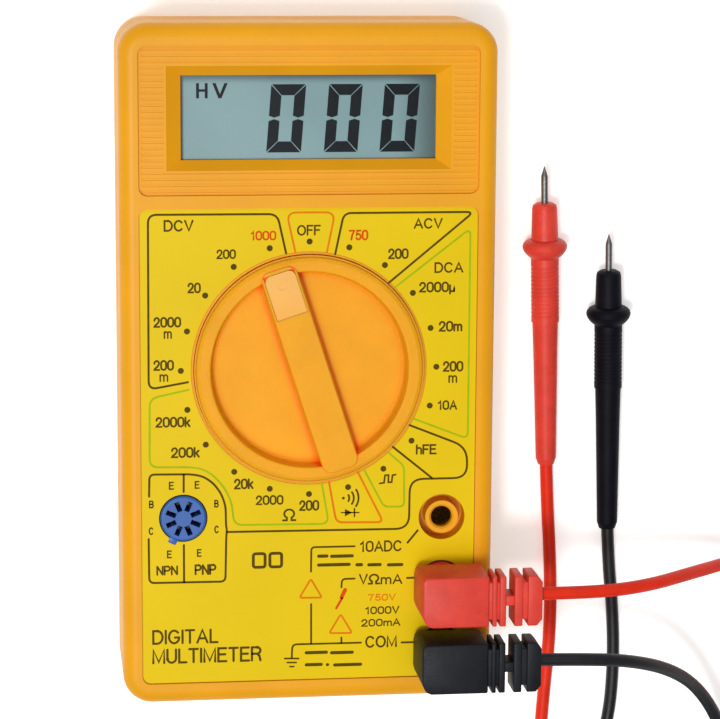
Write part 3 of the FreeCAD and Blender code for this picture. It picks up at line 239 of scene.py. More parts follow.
BLACK_INNER = material("black_moulding", (0.03, 0.03, 0.032, 1), vary=0.15, rough=(0.4, 0.55), patch=260, bump=0.14)
FOIL = material("reflector_foil", (0.72, 0.74, 0.74, 1), vary=0.06, rough=(0.2, 0.3), patch=500, grain=1500, bump=0.2, metallic=1.0)
BOARD = material("board_laminate", (0.34, 0.20, 0.065, 1), vary=0.18, rough=(0.45, 0.6), patch=220, grain=1800, bump=0.2, speck=0.3, speck_scale=900)
RUBBER = material("elastomer", (0.55, 0.42, 0.36, 1), vary=0.1, rough=(0.6, 0.75), patch=500, bump=0.1, stretch=(1, 20, 1))
CELL = material("cell_jacket", (0.08, 0.09, 0.105, 1), vary=0.12, rough=(0.2, 0.32), patch=120, grain=2600, bump=0.08, metallic=0.3)
WIRE_RED = material("wire_red", (0.62, 0.035, 0.03, 1), vary=0.1, rough=(0.35, 0.5), patch=500)
GLASS_TUBE = material("fuse_glass", (0.62, 0.66, 0.66, 1), vary=0.05, rough=(0.06, 0.14), patch=500, grain=1500, bump=0.03, coat=0.8, coat_rough=0.03)
SHUNT = material("shunt_alloy", (0.50, 0.40, 0.31, 1), vary=0.12, rough=(0.25, 0.4), patch=900, metallic=1.0)
EPOXY = material("epoxy_blob", (0.015, 0.015, 0.016, 1), vary=0.2, rough=(0.12, 0.22), patch=400, grain=1200, bump=0.2, coat=0.4)
TRIM = material("trimmer_blue", (0.05, 0.16, 0.42, 1), vary=0.1, rough=(0.35, 0.5), patch=500)
RESIST = material("resistor_lacquer", (0.50, 0.36, 0.20, 1), vary=0.15, rough=(0.3, 0.45), patch=600, stretch=(1, 1, 1))
SLEEVE = material("capacitor_sleeve", (0.03, 0.05, 0.12, 1), vary=0.15, rough=(0.25, 0.4), patch=500)
TIE = material("tie_nylon", (0.62, 0.62, 0.60, 1), vary=0.06, rough=(0.4, 0.55), patch=500)

FINISH = {
    "rear_case": CASE, "front_case": CASE, "face_label": LABEL, "circuit_board": BOARD, "jack_10a": BRASS,
    "jack_vma": BRASS, "jack_com": BRASS, "transistor_socket": SOCKET, "socket_contacts": SLOT_SHADE_METAL, "lcd_glass": LCD,
    "lcd_reflector": FOIL, "lcd_holder": WHITE, "zebra_strips": RUBBER, "battery": CELL, "battery_snap": BLACK_INNER,
    "battery_wires": WIRE_RED, "fuse": GLASS_TUBE, "fuse_clips": BRASS, "shunt_wire": SHUNT, "chip_blob": EPOXY,
    "trimmer": TRIM, "resistors": RESIST, "capacitors": SLEEVE, "buzzer": BLACK_INNER, "case_screws": STEEL,
    "board_screws": STEEL, "selector_knob": KNOB, "knob_pointer": POINTER, "detent_balls": STEEL,
    "detent_springs": STEEL, "wiper_contacts": BRASS,
    "red_plug_body": RED, "red_plug_pin": NICKEL, "red_cord_tie": TIE, "red_probe_handle": RED,
    "red_probe_boot": RED, "red_probe_needle": NEEDLE, "red_plug_cord": RED_PVC, "red_cord_coil": RED_PVC,
    "red_probe_cord": RED_PVC,
    "black_plug_body": BLACK, "black_plug_pin": NICKEL, "black_cord_tie": TIE, "black_probe_handle": BLACK_SOFT,
    "black_probe_boot": BLACK_SOFT, "black_probe_needle": NEEDLE, "black_plug_cord": BLACK_PVC,
    "black_cord_coil": BLACK_PVC, "black_probe_cord": BLACK_PVC,
}
for name, obj in NODES.items():
    mat = FINISH[name]
    if len(obj.material_slots) == 0:
        obj.data.materials.append(mat)
    for s in obj.material_slots:
        s.material = mat


# ---------------------------------------------------------------- mesh helpers
def add_mesh(name, verts, faces, mats, body, face_mats=None, smooth=False):
    me = bpy.data.meshes.new(name)
    me.from_pydata([tuple(v) for v in verts], [], faces)
    for m in mats:
        me.materials.append(m)
    if face_mats:
        for p, k in zip(me.polygons, face_mats):
            p.material_index = k
    if smooth:
        for p in me.polygons:
            p.use_smooth = True
    me.update()
    ob = bpy.data.objects.new(name, me)
    bpy.context.scene.collection.objects.link(ob)
    if body:
        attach(ob, body)
    return ob


class Shell:
    """Collects closed solids of several materials into one mesh."""

    def __init__(self):
        self.v, self.f, self.m = [], [], []

    def prism(self, outline, z0, z1, mat):
        """outline runs counter-clockwise, convex or star-shaped from its middle is not needed: one n-gon each end."""
        k, n = len(self.v), len(outline)
        self.v += [(x * MM, y * MM, z0 * MM) for x, y in outline] + [(x * MM, y * MM, z1 * MM) for x, y in outline]
        self.f.append(tuple(range(k + n - 1, k - 1, -1)))
        self.f.append(tuple(range(k + n, k + 2 * n)))
        self.m += [mat, mat]
        for i in range(n):
            j = (i + 1) % n
            self.f.append((k + i, k + j, k + n + j, k + n + i))
            self.m.append(mat)

    def strip(self, left, right, z0, z1, mat, closed=False):
        """A band between two rows of points."""
        k, n = len(self.v), len(left)
        for z in (z0, z1):
            self.v += [(x * MM, y * MM, z * MM) for x, y in left]
            self.v += [(x * MM, y * MM, z * MM) for x, y in right]
        a, b, c, d = k, k + n, k + 2 * n, k + 3 * n
        for i in range(n if closed else n - 1):
            j = (i + 1) % n
            self.f += [(c + i, d + i, d + j, c + j), (a + i, a + j, b + j, b + i), (a + i, c + i, c + j, a + j), (b + j, d + j, d + i, b + i)]
            self.m += [mat] * 4
        if not closed:
            self.f += [(a, b, d, c), (b + n - 1, a + n - 1, c + n - 1, d + n - 1)]
            self.m += [mat] * 2

    def mesh_data(self, verts, faces, mat):
        k = len(self.v)
        self.v += verts
        self.f += [tuple(k + i for i in f) for f in faces]
        self.m += [mat] * len(faces)


def eased(points, r, closed=False, steps=7):
    """The printed line's corners, rounded to about r."""
    if r <= 0 or (len(points) < 3 and not closed):
        return [tuple(p) for p in points]
    out, n = [], len(points)
    for i, p in enumerate(points):
        if not closed and i in (0, n - 1):
            out.append(tuple(p))
            continue
        p = Vector(p)
        a, b = Vector(points[i - 1]), Vector(points[(i + 1) % n])
        ra = min(r, 0.46 * (a - p).length)
        rb = min(r, 0.46 * (b - p).length)
        s, e = p + (a - p).normalized() * ra, p + (b - p).normalized() * rb
        for k in range(steps + 1):
            t = k / steps
            q = s * (1 - t) ** 2 + p * 2 * t * (1 - t) + e * t * t
            out.append((q.x, q.y))
    return out


def ink_line(shell, points, width, z0, z1, mat, closed=False):
    pts = [Vector(p) for p in points]
    n = len(pts)
    left, right = [], []
    for i, p in enumerate(pts):
        a = pts[i - 1] if (i > 0 or closed) else None
        b = pts[(i + 1) % n] if (i < n - 1 or closed) else None
        da = (p - a).normalized() if a is not None else None
        db = (b - p).normalized() if b is not None else None
        d = (da if db is None else db if da is None else (da + db))
        d = d.normalized()
        nrm = Vector((-d.y, d.x))
        k = 1.0
        if da is not None and db is not None:
            k = min(1.6, 1 / max(0.3, nrm.dot(Vector((-da.y, da.x)))))
        left.append(tuple(p + nrm * width / 2 * k))
        right.append(tuple(p - nrm * width / 2 * k))
    shell.strip(left, right, z0, z1, mat, closed)
    if not closed:
        for p, d in ((pts[0], (pts[0] - pts[1]).normalized()), (pts[-1], (pts[-1] - pts[-2]).normalized())):
            a0 = math.atan2(d.y, d.x) - math.pi / 2
            arc = [(p.x + width / 2 * math.cos(a0 + math.pi * k / 6), p.y + width / 2 * math.sin(a0 + math.pi * k / 6)) for k in range(7)]
            shell.prism(arc, z0, z1, mat)


def arc(cx, cy, rx, ry, a0, a1, n=9):
    return [(cx + rx * math.cos(math.radians(a0 + (a1 - a0) * k / n)), cy + ry * math.sin(math.radians(a0 + (a1 - a0) * k / n))) for k in range(n + 1)]


# plain single-stroke capitals and figures: width, then strokes on a field one unit high
GLYPHS = {
    "0": (0.60, [arc(0.30, 0.70, 0.30, 0.30, 0, 180) + arc(0.30, 0.30, 0.30, 0.30, 180, 360) + [(0.60, 0.70)]]),
    "1": (0.36, [[(0.02, 0.76), (0.14, 0.82), (0.26, 1.0), (0.26, 0.0)]]),
    "2": (0.60, [[(0.03, 0.70)] + arc(0.30, 0.72, 0.27, 0.28, 165, -30) + [(0.38, 0.36), (0.10, 0.14), (0.02, 0.0), (0.60, 0.0)]]),
    "5": (0.60, [[(0.55, 1.0), (0.14, 1.0), (0.07, 0.50)] + arc(0.30, 0.32, 0.29, 0.31, 130, -150, 12)]),
    "7": (0.58, [[(0.0, 1.0), (0.58, 1.0), (0.34, 0.55), (0.22, 0.0)]]),
    "A": (0.72, [[(0.0, 0.0), (0.36, 1.0), (0.72, 0.0)], [(0.12, 0.33), (0.60, 0.33)]]),
    "B": (0.62, [[(0.32, 0.53), (0.0, 0.53), (0.0, 1.0), (0.34, 1.0)] + arc(0.36, 0.765, 0.21, 0.235, 90, -90, 7) + [(0.0, 0.53), (0.0, 0.0), (0.38, 0.0)] + arc(0.38, 0.265, 0.24, 0.265, -90, 90, 7)]),
    "C": (0.70, [arc(0.36, 0.5, 0.36, 0.5, 40, 320, 16)]),
    "D": (0.66, [[(0.0, 0.0), (0.0, 1.0), (0.28, 1.0)] + arc(0.28, 0.5, 0.38, 0.5, 90, -90, 12) + [(0.0, 0.0)]]),
    "E": (0.54, [[(0.54, 1.0), (0.0, 1.0), (0.0, 0.0), (0.56, 0.0)], [(0.0, 0.53), (0.48, 0.53)]]),
    "F": (0.52, [[(0.53, 1.0), (0.0, 1.0), (0.0, 0.0)], [(0.0, 0.52), (0.45, 0.52)]]),
    "G": (0.74, [arc(0.37, 0.5, 0.37, 0.5, 42, 335, 16) + [(0.72, 0.45), (0.42, 0.45)]]),
    "H": (0.62, [[(0.0, 0.0), (0.0, 1.0)], [(0.62, 0.0), (0.62, 1.0)], [(0.0, 0.52), (0.62, 0.52)]]),
    "I": (0.0, [[(0.0, 0.0), (0.0, 1.0)]]),
    "L": (0.48, [[(0.0, 1.0), (0.0, 0.0), (0.50, 0.0)]]),
    "M": (0.76, [[(0.0, 0.0), (0.0, 1.0), (0.38, 0.06), (0.76, 1.0), (0.76, 0.0)]]),
    "N": (0.62, [[(0.0, 0.0), (0.0, 1.0)], [(0.02, 0.98), (0.60, 0.02)], [(0.62, 0.0), (0.62, 1.0)]]),
    "O": (0.76, [arc(0.38, 0.5, 0.38, 0.5, 0, 360, 22)]),
    "P": (0.58, [[(0.0, 0.0), (0.0, 1.0), (0.34, 1.0)] + arc(0.34, 0.735, 0.25, 0.265, 90, -90, 8) + [(0.0, 0.47)]]),
    "R": (0.62, [[(0.0, 0.0), (0.0, 1.0), (0.36, 1.0)] + arc(0.36, 0.755, 0.24, 0.245, 90, -90, 8) + [(0.0, 0.51)], [(0.36, 0.50), (0.52, 0.36), (0.60, 0.0)]]),
    "T": (0.60, [[(0.0, 1.0), (0.60, 1.0)], [(0.30, 1.0), (0.30, 0.0)]]),
    "U": (0.60, [[(0.0, 1.0), (0.0, 0.32)] + arc(0.30, 0.32, 0.30, 0.32, 180, 360, 9) + [(0.60, 1.0)]]),
    "V": (0.68, [[(0.0, 1.0), (0.34, 0.0), (0.68, 1.0)]]),
    "h": (0.46, [[(0.0, 0.0), (0.0, 1.0)], [(0.0, 0.48)] + arc(0.24, 0.47, 0.23, 0.22, 150, 0, 7) + [(0.47, 0.0)]]),
    "k": (0.46, [[(0.0, 0.0), (0.0, 1.0)], [(0.44, 0.68), (0.0, 0.26)], [(0.16, 0.42), (0.46, 0.0)]]),
    "m": (0.80, [[(0.0, 0.0), (0.0, 0.68)], [(0.0, 0.46)] + arc(0.20, 0.46, 0.20, 0.22, 150, 0, 6) + [(0.40, 0.0)], [(0.40, 0.46)] + arc(0.60, 0.46, 0.20, 0.22, 150, 0, 6) + [(0.80, 0.0)]]),
    "u": (0.46, [[(0.0, 0.68), (0.0, -0.26)], [(0.0, 0.22)] + arc(0.23, 0.20, 0.23, 0.20, 190, 350, 7) + [(0.46, 0.30), (0.46, 0.68), (0.46, 0.0)]]),
}


def ink_text(shell, text, x0, x1, y0, y1, z0, z1, mat, weight=0.115, lift=0.0):
    """The word fills the field x0..x1; y0..y1 is the height of its capitals (small letters' height for a lone m)."""
    gap = 0.23
    total = sum(GLYPHS[c][0] for c in text) + gap * (len(text) - 1)
    high = (y1 - y0) / (0.68 if text == "m" else 1.0)
    w = weight * high
    sx = (x1 - x0 - w) / max(total, 0.1)
    sy = high - w
    x, n = x0 + w / 2, 0
    for c in text:
        width, strokes = GLYPHS[c]
        for st in strokes:
            pts = [(x + px * sx, y0 + w / 2 + py * sy) for px, py in st]
            closed = (Vector(pts[0]) - Vector(pts[-1])).length < 1e-6
            if closed:
                pts = pts[:-1]
            dz = lift * n
            ink_line(shell, pts, w, z0, z1 + dz, mat, closed=closed)
            n += 1
        x += (width + gap) * sx


def lathe(name, profile, origin, axis, mats, body, around=48, slot=None, material_of=None, smooth=True):
    """profile: (distance along the axis, radius) in mm, closed on the axis at both ends."""
    origin, axis = Vector(origin), Vector(axis).normalized()
    u = axis.orthogonal().normalized()
    w = axis.cross(u)
    verts, faces, fm = [], [], []
    rows = []
    for s, r in profile:
        if r <= 1e-6:
            rows.append([len(verts)])
            verts.append((origin + axis * s) * MM)
        else:
            rows.append(list(range(len(verts), len(verts) + around)))
            for k in range(around):
                a = 2 * math.pi * k / around
                verts.append((origin + axis * s + u * r * math.cos(a) + w * r * math.sin(a)) * MM)
    for i in range(len(rows) - 1):
        a, b = rows[i], rows[i + 1]
        mi = material_of(i) if material_of else 0
        for k in range(around):
            j = (k + 1) % around
            if len(a) == 1 and len(b) == 1:
                continue
            if len(a) == 1:
                faces.append((a[0], b[k], b[j]))
            elif len(b) == 1:
                faces.append((a[k], b[0], a[j]))
            else:
                faces.append((a[k], b[k], b[j], a[j]))
            fm.append(mi)
    ob = add_mesh(name, verts, faces, mats, body, fm, smooth=smooth)
    bm = bmesh.new()
    bm.from_mesh(ob.data)
    bmesh.ops.recalc_face_normals(bm, faces=bm.faces)
    bm.to_mesh(ob.data)
    bm.free()
    return ob


# ---------------------------------------------------------------- printed panel
LINES = [
    ("dark", 0.50, 1.6, [(-4.32, 21.58), (-5.94, 28.81), (-29.51, 28.89), (-29.62, -3.41), (-22.42, -2.14)]),
    ("orange", 0.45, 1.8, [(-2.61, 21.74), (-4.24, 29.07), (4.69, 29.04), (3.19, 21.68)]),
    ("dark", 0.50, 1.4, [(4.72, 21.30), (6.31, 28.88), (30.34, 28.87), (14.71, 15.90)]),
    ("green", 0.45, 1.4, [(16.06, 15.16), (29.77, 25.84), (29.78, -13.79), (19.47, -9.73)]),
    ("dark", 0.50, 2.6, [(18.80, -10.97), (29.62, -15.34), (29.77, -21.24), (18.93, -21.26), (18.84, -30.77), (-15.17, -30.60)]),
    ("dark", 0.50, 0.0, [(15.67, -15.04), (23.04, -21.08)]),
    ("green", 0.45, 1.0, [(10.32, -19.28), (14.06, -26.44), (17.90, -26.49), (17.82, -18.72), (14.96, -16.20)]),
    ("orange", 0.50, 1.2, [(3.74, -21.51), (5.13, -29.24), (13.99, -29.41), (9.02, -19.49)]),
    ("green", 0.45, 1.6, [(-22.33, -3.57), (-29.46, -5.10), (-29.56, -18.00), (-21.84, -18.14), (-19.73, -18.56), (-17.63, -19.90), (-15.63, -22.36), (-14.39, -25.09), (-13.97, -29.30), (3.73, -29.49), (2.39, -21.59)]),
    ("dark", 0.50, 1.0, [(-29.70, -23.54), (-29.61, -19.37), (-21.78, -19.48), (-19.64, -19.95), (-17.73, -21.33), (-16.30, -23.37), (-15.54, -25.71), (-15.48, -29.36), (-15.32, -30.20), (-15.44, -31.60), (-15.62, -40.09), (-29.79, -40.02), (-29.84, -31.63)]),
    ("dark", 0.50, 0.0, [(-23.29, -19.50), (-23.31, -22.80)]),
    ("dark", 0.50, 0.0, [(-23.33, -32.91), (-23.33, -40.04)]),
    ("dark", 0.45, 0.7, [(8.60, -33.91), (0.47, -33.90), (0.42, -38.58)]),
    ("dark", 0.45, 0.0, [(0.46, -44.88), (0.48, -52.55)]),
    ("dark", 0.45, 0.7, [(8.63, -40.15), (6.27, -40.17), (6.16, -41.76)]),
    ("dark", 0.45, 0.0, [(6.20, -51.51), (6.21, -52.60)]),
    ("dark", 0.45, 0.9, [(9.91, -52.63), (-3.06, -52.60), (-3.17, -55.15)]),
    ("dark", 0.50, 0.0, [(17.66, -52.82), (20.36, -52.82)]),
    ("dark", 0.50, 0.0, [(18.59, -40.28), (20.24, -40.26)]),
    ("dark", 0.50, 0.0, [(20.49, -31.14), (18.61, -33.46)]),
    ("dark", 0.42, 0.0, [(-4.50, -55.30), (-1.88, -55.38)]),
    ("dark", 0.40, 0.0, [(-4.03, -56.10), (-2.33, -56.15)]),
    ("dark", 0.38, 0.0, [(-3.52, -56.90), (-2.78, -56.92)]),
    ("dark", 0.30, 0.0, [(6.09, -27.38), (9.40, -27.46)]),
    ("dark", 0.36, 0.0, [(8.54, -26.69), (8.55, -28.19)]),
    ("dark", 0.42, 0.0, [(13.25, -21.96), (14.07, -21.86), (14.25, -20.43), (14.91, -20.40), (14.88, -21.77), (15.51, -21.78), (15.65, -20.44), (16.23, -20.34)]),
]
OUTLINES = [
    ("orange", 0.42, 0.5, [(0.39, -40.00), (-1.73, -43.59), (2.50, -43.67)]),
    ("orange", 0.42, 0.5, [(6.05, -46.99), (3.89, -50.61), (8.24, -50.69)]),
]
TEXTS = [
    ("DCV", "dark", -26.68, -21.23, 25.76, 27.91),
    ("ACV", "dark", 19.22, 24.59, 25.83, 27.83),
    ("OFF", "dark", -2.33, 2.04, 24.79, 26.77),
    ("1000", "red", -10.86, -6.13, 23.98, 25.77),
    ("750", "red", 7.19, 10.82, 23.79, 25.78),
    ("200", "dark", -17.11, -13.52, 20.62, 22.42),
    ("200", "dark", 14.48, 18.31, 20.26, 22.26),
    ("DCA", "dark", 23.15, 28.55, 17.59, 19.60),
    ("20", "dark", -22.43, -19.96, 14.37, 16.36),
    ("2000µ", "dark", 20.30, 27.05, 13.97, 15.97),
    ("2000", "dark", -28.69, -23.59, 8.08, 10.07),
    ("m", "dark", -26.81, -25.30, 5.99, 7.35),
    ("20m", "dark", 24.04, 28.50, 6.58, 8.61),
    ("200", "dark", -28.75, -24.96, 0.07, 2.08),
    ("m", "dark", -27.63, -26.02, -2.02, -0.66),
    ("200", "dark", 24.90, 28.78, -0.99, 1.04),
    ("m", "dark", 25.99, 27.64, -3.12, -1.73),
    ("2000k", "dark", -28.45, -21.98, -10.59, -8.57),
    ("10A", "dark", 24.01, 27.70, -8.21, -6.36),
    ("200k", "dark", -25.63, -20.30, -16.36, -14.32),
    ("hFE", "dark", 20.01, 23.90, -16.62, -14.66),
    ("20k", "dark", -14.00, -10.34, -22.53, -20.48),
    ("2000", "dark", -9.96, -4.76, -25.62, -23.75),
    ("200", "dark", -1.86, 1.92, -26.91, -24.85),
    ("E", "dark", -26.05, -25.11, -22.33, -20.81),
    ("E", "dark", -21.27, -20.36, -22.25, -20.76),
    ("B", "dark", -29.74, -28.83, -25.77, -24.29),
    ("B", "dark", -17.66, -16.81, -25.88, -24.43),
    ("C", "dark", -29.84, -28.93, -30.86, -29.37),
    ("C", "dark", -17.67, -16.79, -30.81, -29.32),
    ("E", "dark", -26.48, -25.56, -35.37, -33.87),
    ("E", "dark", -20.91, -20.04, -35.23, -33.73),
    ("NPN", "dark", -28.46, -24.44, -38.64, -36.77),
    ("PNP", "dark", -21.36, -17.31, -38.73, -36.66),
    ("10ADC", "dark", 9.55, 17.58, -35.09, -32.92),
    ("mA", "dark", 13.57, 17.69, -41.44, -39.46),
    ("COM", "dark", 10.72, 16.75, -53.70, -51.34),
    ("V", "dark", 9.46, 11.14, -41.30, -39.27),
    ("750V", "orange", 11.16, 16.45, -44.60, -43.23),
    ("1000V", "dark", 10.68, 17.16, -47.17, -45.65),
    ("200mA", "dark", 9.91, 17.38, -49.55, -48.06),
    ("DIGITAL", "dark", -29.33, -16.97, -51.94, -49.09),
    ("MULTIMETER", "dark", -29.36, -8.82, -55.70, -52.74),
]
OMEGAS = [
    (-4.85, -2.53, -28.76, -26.48),
    (11.29, 13.34, -41.32, -39.40),
]
DASHES = [
    (1.56, 3.70, -35.66),
    (3.99, 8.47, -35.74),
    (1.56, 7.89, -37.37),
    (8.77, 10.24, -37.49),
    (11.02, 13.75, -37.56),
    (14.73, 17.86, -37.66),
    (-0.73, 3.67, -54.30),
    (4.06, 8.57, -54.44),
    (-0.72, 2.70, -56.65),
    (3.29, 3.88, -56.73),
    (4.66, 10.16, -56.84),
]

WEIGHT = {"DIGITAL": 0.145, "MULTIMETER": 0.145, "10ADC": 0.155, "COM": 0.155, "V": 0.155, "mA": 0.155, "DCV": 0.16, "ACV": 0.16, "OFF": 0.16, "DCA": 0.16, "m": 0.14}
INKS = [INK_DARK, INK_GREEN, INK_ORANGE, INK_RED]
INK_NO = {"dark": 0, "green": 1, "orange": 2, "red": 3}
Z0, Z1 = 24.49, 24.53


def printed_panel():
    sh = Shell()
    for ink, width, r, pts in LINES:
        ink_line(sh, eased(pts, r), width * 0.78, Z0, Z1, INK_NO[ink])
    for ink, width, r, pts in OUTLINES:
        ink_line(sh, eased(pts, r, True), width * 0.85, Z0, Z1, INK_NO[ink], closed=True)
    for text, ink, x0, x1, y0, y1 in TEXTS:
        ink_text(sh, text.replace("\u00b5", "u").replace("\u03bc", "u"), x0, x1, y0, y1, Z0, Z1, INK_NO[ink], weight=WEIGHT.get(text, 0.175), lift=0.0015)
    for k in range(20):
        a = math.radians(18 * k)
        cx, cy = 23.7 * math.sin(a), 23.7 * math.cos(a)
        sh.prism([(cx + 0.56 * math.cos(t * math.pi / 12), cy + 0.56 * math.sin(t * math.pi / 12)) for t in range(24)], Z0, Z1, 0)
    for x0, x1, y0, y1 in OMEGAS:
        cx, w, h = (x0 + x1) / 2, x1 - x0, y1 - y0
        loop = []
        for t in range(17):
            a = math.radians(-62 + 304 * t / 16)
            loop.append((cx + 0.40 * w * math.cos(a), y0 + 0.60 * h + 0.36 * h * math.sin(a)))
        pts = [(x1, y0 + 0.06 * h), (cx + 0.19 * w, y0 + 0.06 * h)] + loop + [(cx - 0.19 * w, y0 + 0.06 * h), (x0, y0 + 0.06 * h)]
        ink_line(sh, pts, 0.36, Z0, Z1, 0)
    for x0, x1, y in DASHES:
        ink_line(sh, [(x0 + 0.3, y), (x1 - 0.3, y)], 0.62, Z0, Z1, 0)
    # sound mark: a dot and three arcs; diode mark: a triangle on its line
    sh.prism([(6.45 + 0.27 * math.cos(t * math.pi / 8), -24.62 + 0.27 * math.sin(t * math.pi / 8)) for t in range(16)], Z0, Z1, 0)
    for r, half in ((1.15, 30), (2.0, 34), (2.9, 33)):
        ink_line(sh, [(6.4 + r * math.cos(math.radians(a)), -24.64 + r * math.sin(math.radians(a))) for a in [half * (k / 6 - 1) for k in range(13)]], 0.36, Z0, Z1, 0)
    sh.prism([(6.75, -26.72), (6.75, -28.12), (8.15, -27.42)], Z0, Z1, 0)
    # small plain marks in place of symbols
    ink_line(sh, [(6.85, -42.3), (6.2, -43.7)], 0.75, Z0, Z1, 3)
    ink_line(sh, [(6.3, -43.9), (5.2, -45.8)], 0.45, Z0, Z1, 3)
    for c in (-9.3, -6.2):
        ink_line(sh, eased([(c - 1.1, -34.9), (c + 1.1, -34.9), (c + 1.1, -37.5), (c - 1.1, -37.5)], 0.5, True), 0.55, Z0, Z1, 0, closed=True)
    add_mesh("label_print", sh.v, sh.f, INKS, "meter", sh.m)


printed_panel()


# ---------------------------------------------------------------- display
def display():
    """Dark seven-bar digits on the display's face and a small word at its left."""
    z0, z1 = 21.88, 21.93
    sh = Shell()

    def segment_digit(x0, x1, y0, y1, lean, on="abcdef"):
        h, w = y1 - y0, (x1 - x0) - lean
        t, g = 2.0, 0.13
        m = h / 2

        def put(poly):
            pts = [(x0 + px + lean * py / h, y0 + py) for px, py in poly]
            area = sum(pts[i][0] * pts[(i + 1) % len(pts)][1] - pts[(i + 1) % len(pts)][0] * pts[i][1] for i in range(len(pts)))
            sh.prism(pts if area > 0 else pts[::-1], z0, z1, 0)

        if "a" in on:
            put([(g, h), (t + g * 0.2, h - t), (w - t - g * 0.2, h - t), (w - g, h)])
        if "d" in on:
            put([(g, 0), (t + g * 0.2, t), (w - t - g * 0.2, t), (w - g, 0)])
        if "f" in on:
            put([(0, h - g), (t, h - t - g), (t, m + g + 0.35), (t * 0.5, m + g), (0, m + g + 0.35)])
        if "b" in on:
            put([(w, h - g), (w - t, h - t - g), (w - t, m + g + 0.35), (w - t * 0.5, m + g), (w, m + g + 0.35)])
        if "e" in on:
            put([(0, g), (t, t + g), (t, m - g - 0.35), (t * 0.5, m - g), (0, m - g - 0.35)])
        if "c" in on:
            put([(w, g), (w - t, t + g), (w - t, m - g - 0.35), (w - t * 0.5, m - g), (w, m - g - 0.35)])
        if "g" in on:
            put([(0.35, m), (t, m + t / 2), (w - t, m + t / 2), (w - 0.35, m), (w - t, m - t / 2), (t, m - t / 2)])

    for x0, x1 in ((-7.75, -0.42), (2.83, 9.96), (13.08, 20.49)):
        segment_digit(x0, x1, 39.82, 52.25, 0.95)
    # the word at the left, as two letters of plain bars
    b = 0.52
    for x0, x1, y0, y1 in ((-20.5, -20.5 + b, 49.75, 52.5), (-18.4 - b, -18.4, 49.75, 52.5), (-20.5 + b, -18.4 - b, 50.95, 50.95 + b * 0.85)):
        sh.prism([(x0, y0), (x1, y0), (x1, y1), (x0, y1)], z0, z1, 0)
    sh.prism([(-17.55, 52.5), (-16.45, 49.75), (-15.9, 49.75), (-14.75, 52.5), (-15.35, 52.5), (-16.17, 50.5), (-16.95, 52.5)], z0, z1, 0)
    add_mesh("display_segments", sh.v, sh.f, [SEGMENT], "meter", sh.m)


display()


# ---------------------------------------------------------------- socket key, plug shells
def rounded_solid(bm, outline, z0, z1, bevel, segments=3, slant=None):
    """A prism with every edge rounded, added to bm, after an optional slanting cut. Lengths in mm."""
    one = bmesh.new()
    low = [one.verts.new((x, y, z0)) for x, y in outline]
    top = [one.verts.new((x, y, z1)) for x, y in outline]
    n = len(outline)
    one.faces.new(low[::-1])
    one.faces.new(top)
    for i in range(n):
        one.faces.new((low[i], low[(i + 1) % n], top[(i + 1) % n], top[i]))
    if slant:
        cut = bmesh.ops.bisect_plane(one, geom=list(one.verts) + list(one.edges) + list(one.faces), plane_co=slant[0],
                                     plane_no=slant[1], clear_outer=True)
        bmesh.ops.contextual_create(one, geom=[e for e in cut["geom_cut"] if isinstance(e, bmesh.types.BMEdge)])
    bmesh.ops.recalc_face_normals(one, faces=one.faces)
    bmesh.ops.bevel(one, geom=list(one.edges), offset=bevel, segments=segments, profile=0.5, affect="EDGES")
    me = bpy.data.meshes.new("part")
    one.to_mesh(me)
    one.free()
    bm.from_mesh(me)
    bpy.data.meshes.remove(me)


def oblong(x0, x1, y0, y1):
    return [(x0, y0), (x1, y0), (x1, y1), (x0, y1)]


def ring_solid(bm, cx, cy, r0, r1, z0, z1, around=56, lip=0.12):
    prof = [(r1, z1), (r1, z0 + lip), (r1 - lip, z0), (r0 + lip, z0), (r0, z0 + lip), (r0, z1)]
    rows = []
    for r, z in prof:
        rows.append([bm.verts.new((cx + r * math.cos(2 * math.pi * k / around), cy + r * math.sin(2 * math.pi * k / around), z)) for k in range(around)])
    faces = []
    for a, b in zip(rows, rows[1:] + rows[:1]):
        for k in range(around):
            j = (k + 1) % around
            faces.append(bm.faces.new((a[k], b[k], b[j], a[j])))
    bmesh.ops.recalc_face_normals(bm, faces=faces)


def finish_mesh(name, bm, mats, body, angle=40):
    for v in bm.verts:
        v.co = v.co * MM
    me = bpy.data.meshes.new(name)
    bm.to_mesh(me)
    bm.free()
    for m in mats:
        me.materials.append(m)
    for q in me.polygons:
        q.use_smooth = True
    me.set_sharp_from_angle(angle=math.radians(angle))
    ob = bpy.data.objects.new(name, me)
    bpy.context.scene.collection.objects.link(ob)
    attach(ob, body)
    return ob


